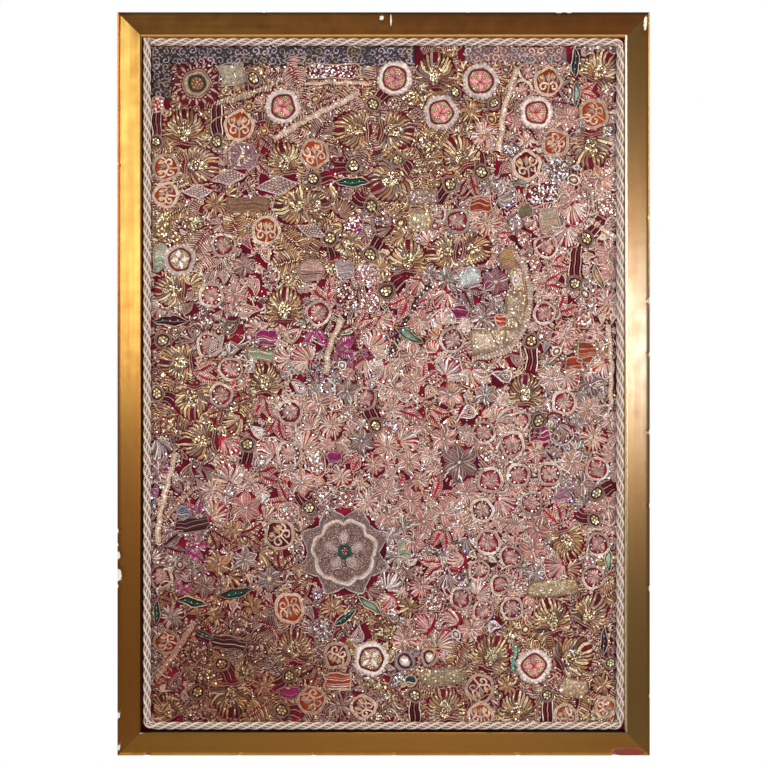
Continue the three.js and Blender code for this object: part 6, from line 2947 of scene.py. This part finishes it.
@dataclass(frozen=True)
class Patchwork:
    """All the embroidery: the named motifs, family by family, and the filling between them."""

    ground: Ground
    materials: tuple[bpy.types.Material, ...]
    filling: Filling = Filling()
    filling_pieces: int = 5
    seed: int = 1912

    def family(self, name: str, slot: str, jobs: Iterable[Job], nodes: Iterable[str] = ()) -> None:
        """Works one family of motifs as one piece that stands for its plain solids.

        Args:
            name: the piece's name
            slot: its finish, as the part's record names it
            jobs: the motifs, in the order that they are worked
            nodes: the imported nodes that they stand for
        """
        cloth = Stitchery(self.ground, self.seed + len(name))
        for job in jobs:
            job.work(cloth, cloth.rng.uniform(0, 0.4))
        seat(cloth.join(name, self.materials), slot, nodes)

    @staticmethod
    def numbered(stem: str, many: int) -> list[str]:
        """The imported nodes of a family."""
        return [f"{stem}_{index + 1}" for index in range(many)]

    def named(self) -> dict[str, tuple[str, list[Job], list[str]]]:
        """The named motifs by piece, each with its slot and the solids it stands for.

        Returns:
            For each piece its slot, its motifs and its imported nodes.
        """
        flowers = [Job(RingFlower(petals), spot) for spot, petals in zip(RING_FLOWERS, RING_PETALS)]
        orange = [Job(ScrollMedallion(), spot) for spot in ORANGE_MEDALLIONS + EDGE_MEDALLIONS]
        red = [Job(ScrollMedallion(Thread.OXBLOOD), spot) for spot in RED_MEDALLIONS]
        rosettes = [Job(RingedRosette(), spot, Colourway.ROSE if index % 4 else Colourway.PEARL)
                    for index, spot in enumerate(RINGED_ROSETTES + MORE_ROSETTES)]
        palmettes = [Job(Palmette(), spot, Colourway.GOLD) for spot in PALMETTES + MORE_PALMETTES]
        bosses = [Job(Boss(), replace(spot, turn=137.0 * index)) for index, spot in enumerate(BOSSES)]
        bosses += [Job(Boss(stem, Thread.PALE), spot) for spot, stem in STEMMED_BOSSES]
        braids = [Job(Braid(points), WHOLE) for points in BRAIDS]
        braids += [Job(Braid(points, width, 2.4, thread), WHOLE) for points, thread, width in EDGE_BRAIDS]
        return {
            "sunburst_work": ("gold_thread", [Job(Sunburst(), Spot(110, 93, 47))], ["sunburst"]),
            "great_rosette_work": ("cream_braid", [Job(GreatRosette(), Spot(413, 1055, 87))],
                                   ["great_rosette"]),
            "ring_flower_work": ("cream_braid", flowers, self.numbered("ring_flower", 8)),
            "scroll_medallion_work": ("orange_satin", orange + red, self.numbered("scroll_medallion", 16)),
            "ringed_rosette_work": ("silver_thread", rosettes, self.numbered("ringed_rosette", 10)),
            "palmette_work": ("gold_thread", palmettes, self.numbered("gold_palmette", 6)),
            "boss_work": ("gold_thread", bosses, []),
            "glitter_work": ("glitter_cloth", [Job(panel, WHOLE) for panel in GLITTER_PANELS],
                             self.numbered("glitter_panel", 4)),
            "braid_work": ("cream_braid", braids, self.numbered("cream_braid", 6)),
        }

    def scattered(self, rng: np.random.Generator) -> list[Job]:
        """The smaller motifs whose places are known, as one mixed family.

        Args:
            rng: the run of random draws

        Returns:
            The motifs, in the order that they are worked.
        """
        made = [Job(piece, WHOLE) for piece in BORDERS + PIECED_PATCHES]
        families = ((PetalFlower(), PETAL_FLOWERS), (Burst(), BURSTS), (BeadField(), LOZENGES),
                    (Lozenge(), LACED_LOZENGES), (Knot(), KNOTS))
        for pattern, spots in families:
            for spot in spots:
                colours = self.filling.zone(rng, spot.across, spot.down).colours
                made.append(Job(pattern, spot, colours[rng.integers(len(colours))]))
        for spot, ring, colours in EYED_FLOWERS:
            made.append(Job(PetalFlower(), spot, colours))
            made.append(Job(Knot(ring), replace(spot, radius=12.0), Colourway.GOLD))
        return made + [Job(Pod(satin), spot, Colourway.PEARL) for spot, satin in PODS]

    def make(self) -> None:
        """Works all the pieces."""
        rng = np.random.default_rng(self.seed)
        layout = Layout(self.ground)
        scattered = self.scattered(rng)
        for name, (slot, jobs, nodes) in self.named().items():
            self.family(name, slot, jobs, nodes)
            for job in jobs:
                layout.claim(*job.pattern.cover(job.spot))
        self.family("pieced_work", "embroidered_ground", scattered)
        for job in scattered:
            layout.claim(*job.pattern.cover(job.spot))
        named = copy.deepcopy(layout)
        pieces = [Stitchery(self.ground, self.seed + 100 + index) for index in range(self.filling_pieces)]
        self.filling.fill(layout, pieces, rng)
        self.filling.scatter(layout, named, pieces, rng)
        for index, cloth in enumerate(pieces):
            seat(cloth.join(f"filling_work_{index + 1}", self.materials), "embroidered_ground")


@dataclass(frozen=True)
class Lamp:
    """A soft lamp: where it hangs from the hanging's middle, its size, its power and its tint."""

    name: str
    spot: tuple[float, float, float]
    size: tuple[float, float]
    power: float
    tint: tuple[float, float, float] = (1.06, 0.945, 0.8)


@dataclass(frozen=True)
class Studio:
    """The camera, the lamps, the pale floor and the white that surrounds the hanging."""

    aim: tuple[float, float] = (0.0008, -0.0003)
    distance: float = 3.711
    lens: float = 85.0
    ambient: tuple[float, float, float] = (0.15, 0.142, 0.134)
    lamps: tuple[Lamp, ...] = (
        Lamp("left_rake", (-2.5, -2.0, 0.9), (1.2, 1.2), 42.0),
        Lamp("right_rake", (2.6, -2.3, 1.0), (1.2, 1.2), 66.0),
        Lamp("front_soft", (0.2, -4.4, 0.2), (0.6, 1.0), 32.0),
        Lamp("left_high", (-0.82, -3.5, 0.76), (0.45, 1.4), 16.5, (0.68, 1.1, 1.3)),
        Lamp("right_middle", (0.76, -3.6, 0.17), (0.45, 0.52), 9.5, (0.22, 0.6, 2.2)),
    )
    floor_level: float = -2.3

    def make(self, hanging: Hanging) -> None:
        """Sets up the camera, the lamps, the surround and the floor.

        Args:
            hanging: the hanging's sizes
        """
        middle = Vector((0.0, -hanging.depth * MM, hanging.middle * MM))
        camera = bpy.data.objects.new("camera", bpy.data.cameras.new("camera"))
        camera.data.lens = self.lens
        camera.data.sensor_width = 36.0
        camera.location = middle + Vector((self.aim[0], -self.distance, self.aim[1]))
        camera.rotation_euler = (math.pi / 2, 0, 0)
        bpy.context.scene.collection.objects.link(camera)
        bpy.context.scene.camera = camera
        for lamp in self.lamps:
            self.hang(lamp, middle)
        self.surround()
        self.floor()
        bpy.context.scene.view_settings.view_transform = "Standard"

    @staticmethod
    def hang(lamp: Lamp, middle: Vector) -> None:
        """Hangs one area lamp that faces the middle.

        Args:
            lamp: the lamp
            middle: the hanging's middle
        """
        light = bpy.data.lights.new(lamp.name, "AREA")
        light.shape = "RECTANGLE"
        light.size, light.size_y = lamp.size
        light.energy = lamp.power
        light.color = lamp.tint
        made = bpy.data.objects.new(lamp.name, light)
        made.location = middle + Vector(lamp.spot)
        made.rotation_euler = (middle - made.location).to_track_quat("-Z", "Y").to_euler()
        bpy.context.scene.collection.objects.link(made)

    def surround(self) -> None:
        """White where the camera looks, and a soft warm light from all round."""
        world = bpy.data.worlds.new("white_surround")
        bpy.context.scene.world = world
        world.use_nodes = True
        tree = world.node_tree
        tree.nodes.clear()
        output = tree.nodes.new("ShaderNodeOutputWorld")
        blend = tree.nodes.new("ShaderNodeMixShader")
        path = tree.nodes.new("ShaderNodeLightPath")
        soft = tree.nodes.new("ShaderNodeBackground")
        soft.inputs["Color"].default_value = (*self.ambient, 1.0)
        white = tree.nodes.new("ShaderNodeBackground")
        white.inputs["Color"].default_value = (1.0, 1.0, 1.0, 1.0)
        tree.links.new(path.outputs["Is Camera Ray"], blend.inputs[0])
        tree.links.new(soft.outputs[0], blend.inputs[1])
        tree.links.new(white.outputs[0], blend.inputs[2])
        tree.links.new(blend.outputs[0], output.inputs["Surface"])

    def floor(self) -> None:
        """A pale floor below the hanging."""
        corners = np.array([(-2.2, -3.2), (2.2, -3.2), (2.2, 1.0), (-2.2, 1.0)])
        points = np.concatenate([corners, np.full((4, 1), self.floor_level)], 1)
        bench = Bench("pale_floor")
        mottle = bench.noise(3.0)
        bench.set(Base_Color=bench.mix(mottle, [0.8, 0.8, 0.79], [0.86, 0.86, 0.85]), Roughness=0.8)
        floor = new_object("floor", points, np.array([(0, 1, 2), (0, 2, 3)]), [bench.material])
        floor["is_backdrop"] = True


def record_bounds(moment: str, sizes: dict) -> None:
    """Adds the lowest and highest corner of what is shown to the record of sizes."""
    sizes[moment] = [[float(value) for value in corner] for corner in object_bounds()]


def main() -> None:
    """Builds the hanging's finish, piece by piece."""
    logging.basicConfig(level=logging.INFO, format="%(name)s: %(message)s")
    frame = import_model()
    sizes: dict = {}
    record_bounds("solids", sizes)
    hanging = Hanging.measured()
    ground = Ground.of_cloth(hanging, frame["nodes"]["embroidered_cloth"])
    LOG.info("frame %.1f by %.1f mm, sight %.1f by %.1f mm", hanging.width, hanging.height, *hanging.sight)
    board = frame["nodes"]["backing_board"]
    board.data.materials.clear()
    board.data.materials.append(PlywoodFinish().dress())
    GiltFrame().make(hanging)
    VelvetGround().make(ground)
    LaidRope().make(hanging)
    materials = [finish.dress() for finish in STITCH_FINISHES] + [GlitterFinish().dress()]
    Patchwork(ground, tuple(materials)).make()
    Studio().make(hanging)
    record_bounds("dressed", sizes)


if __name__ == "__main__":
    main()
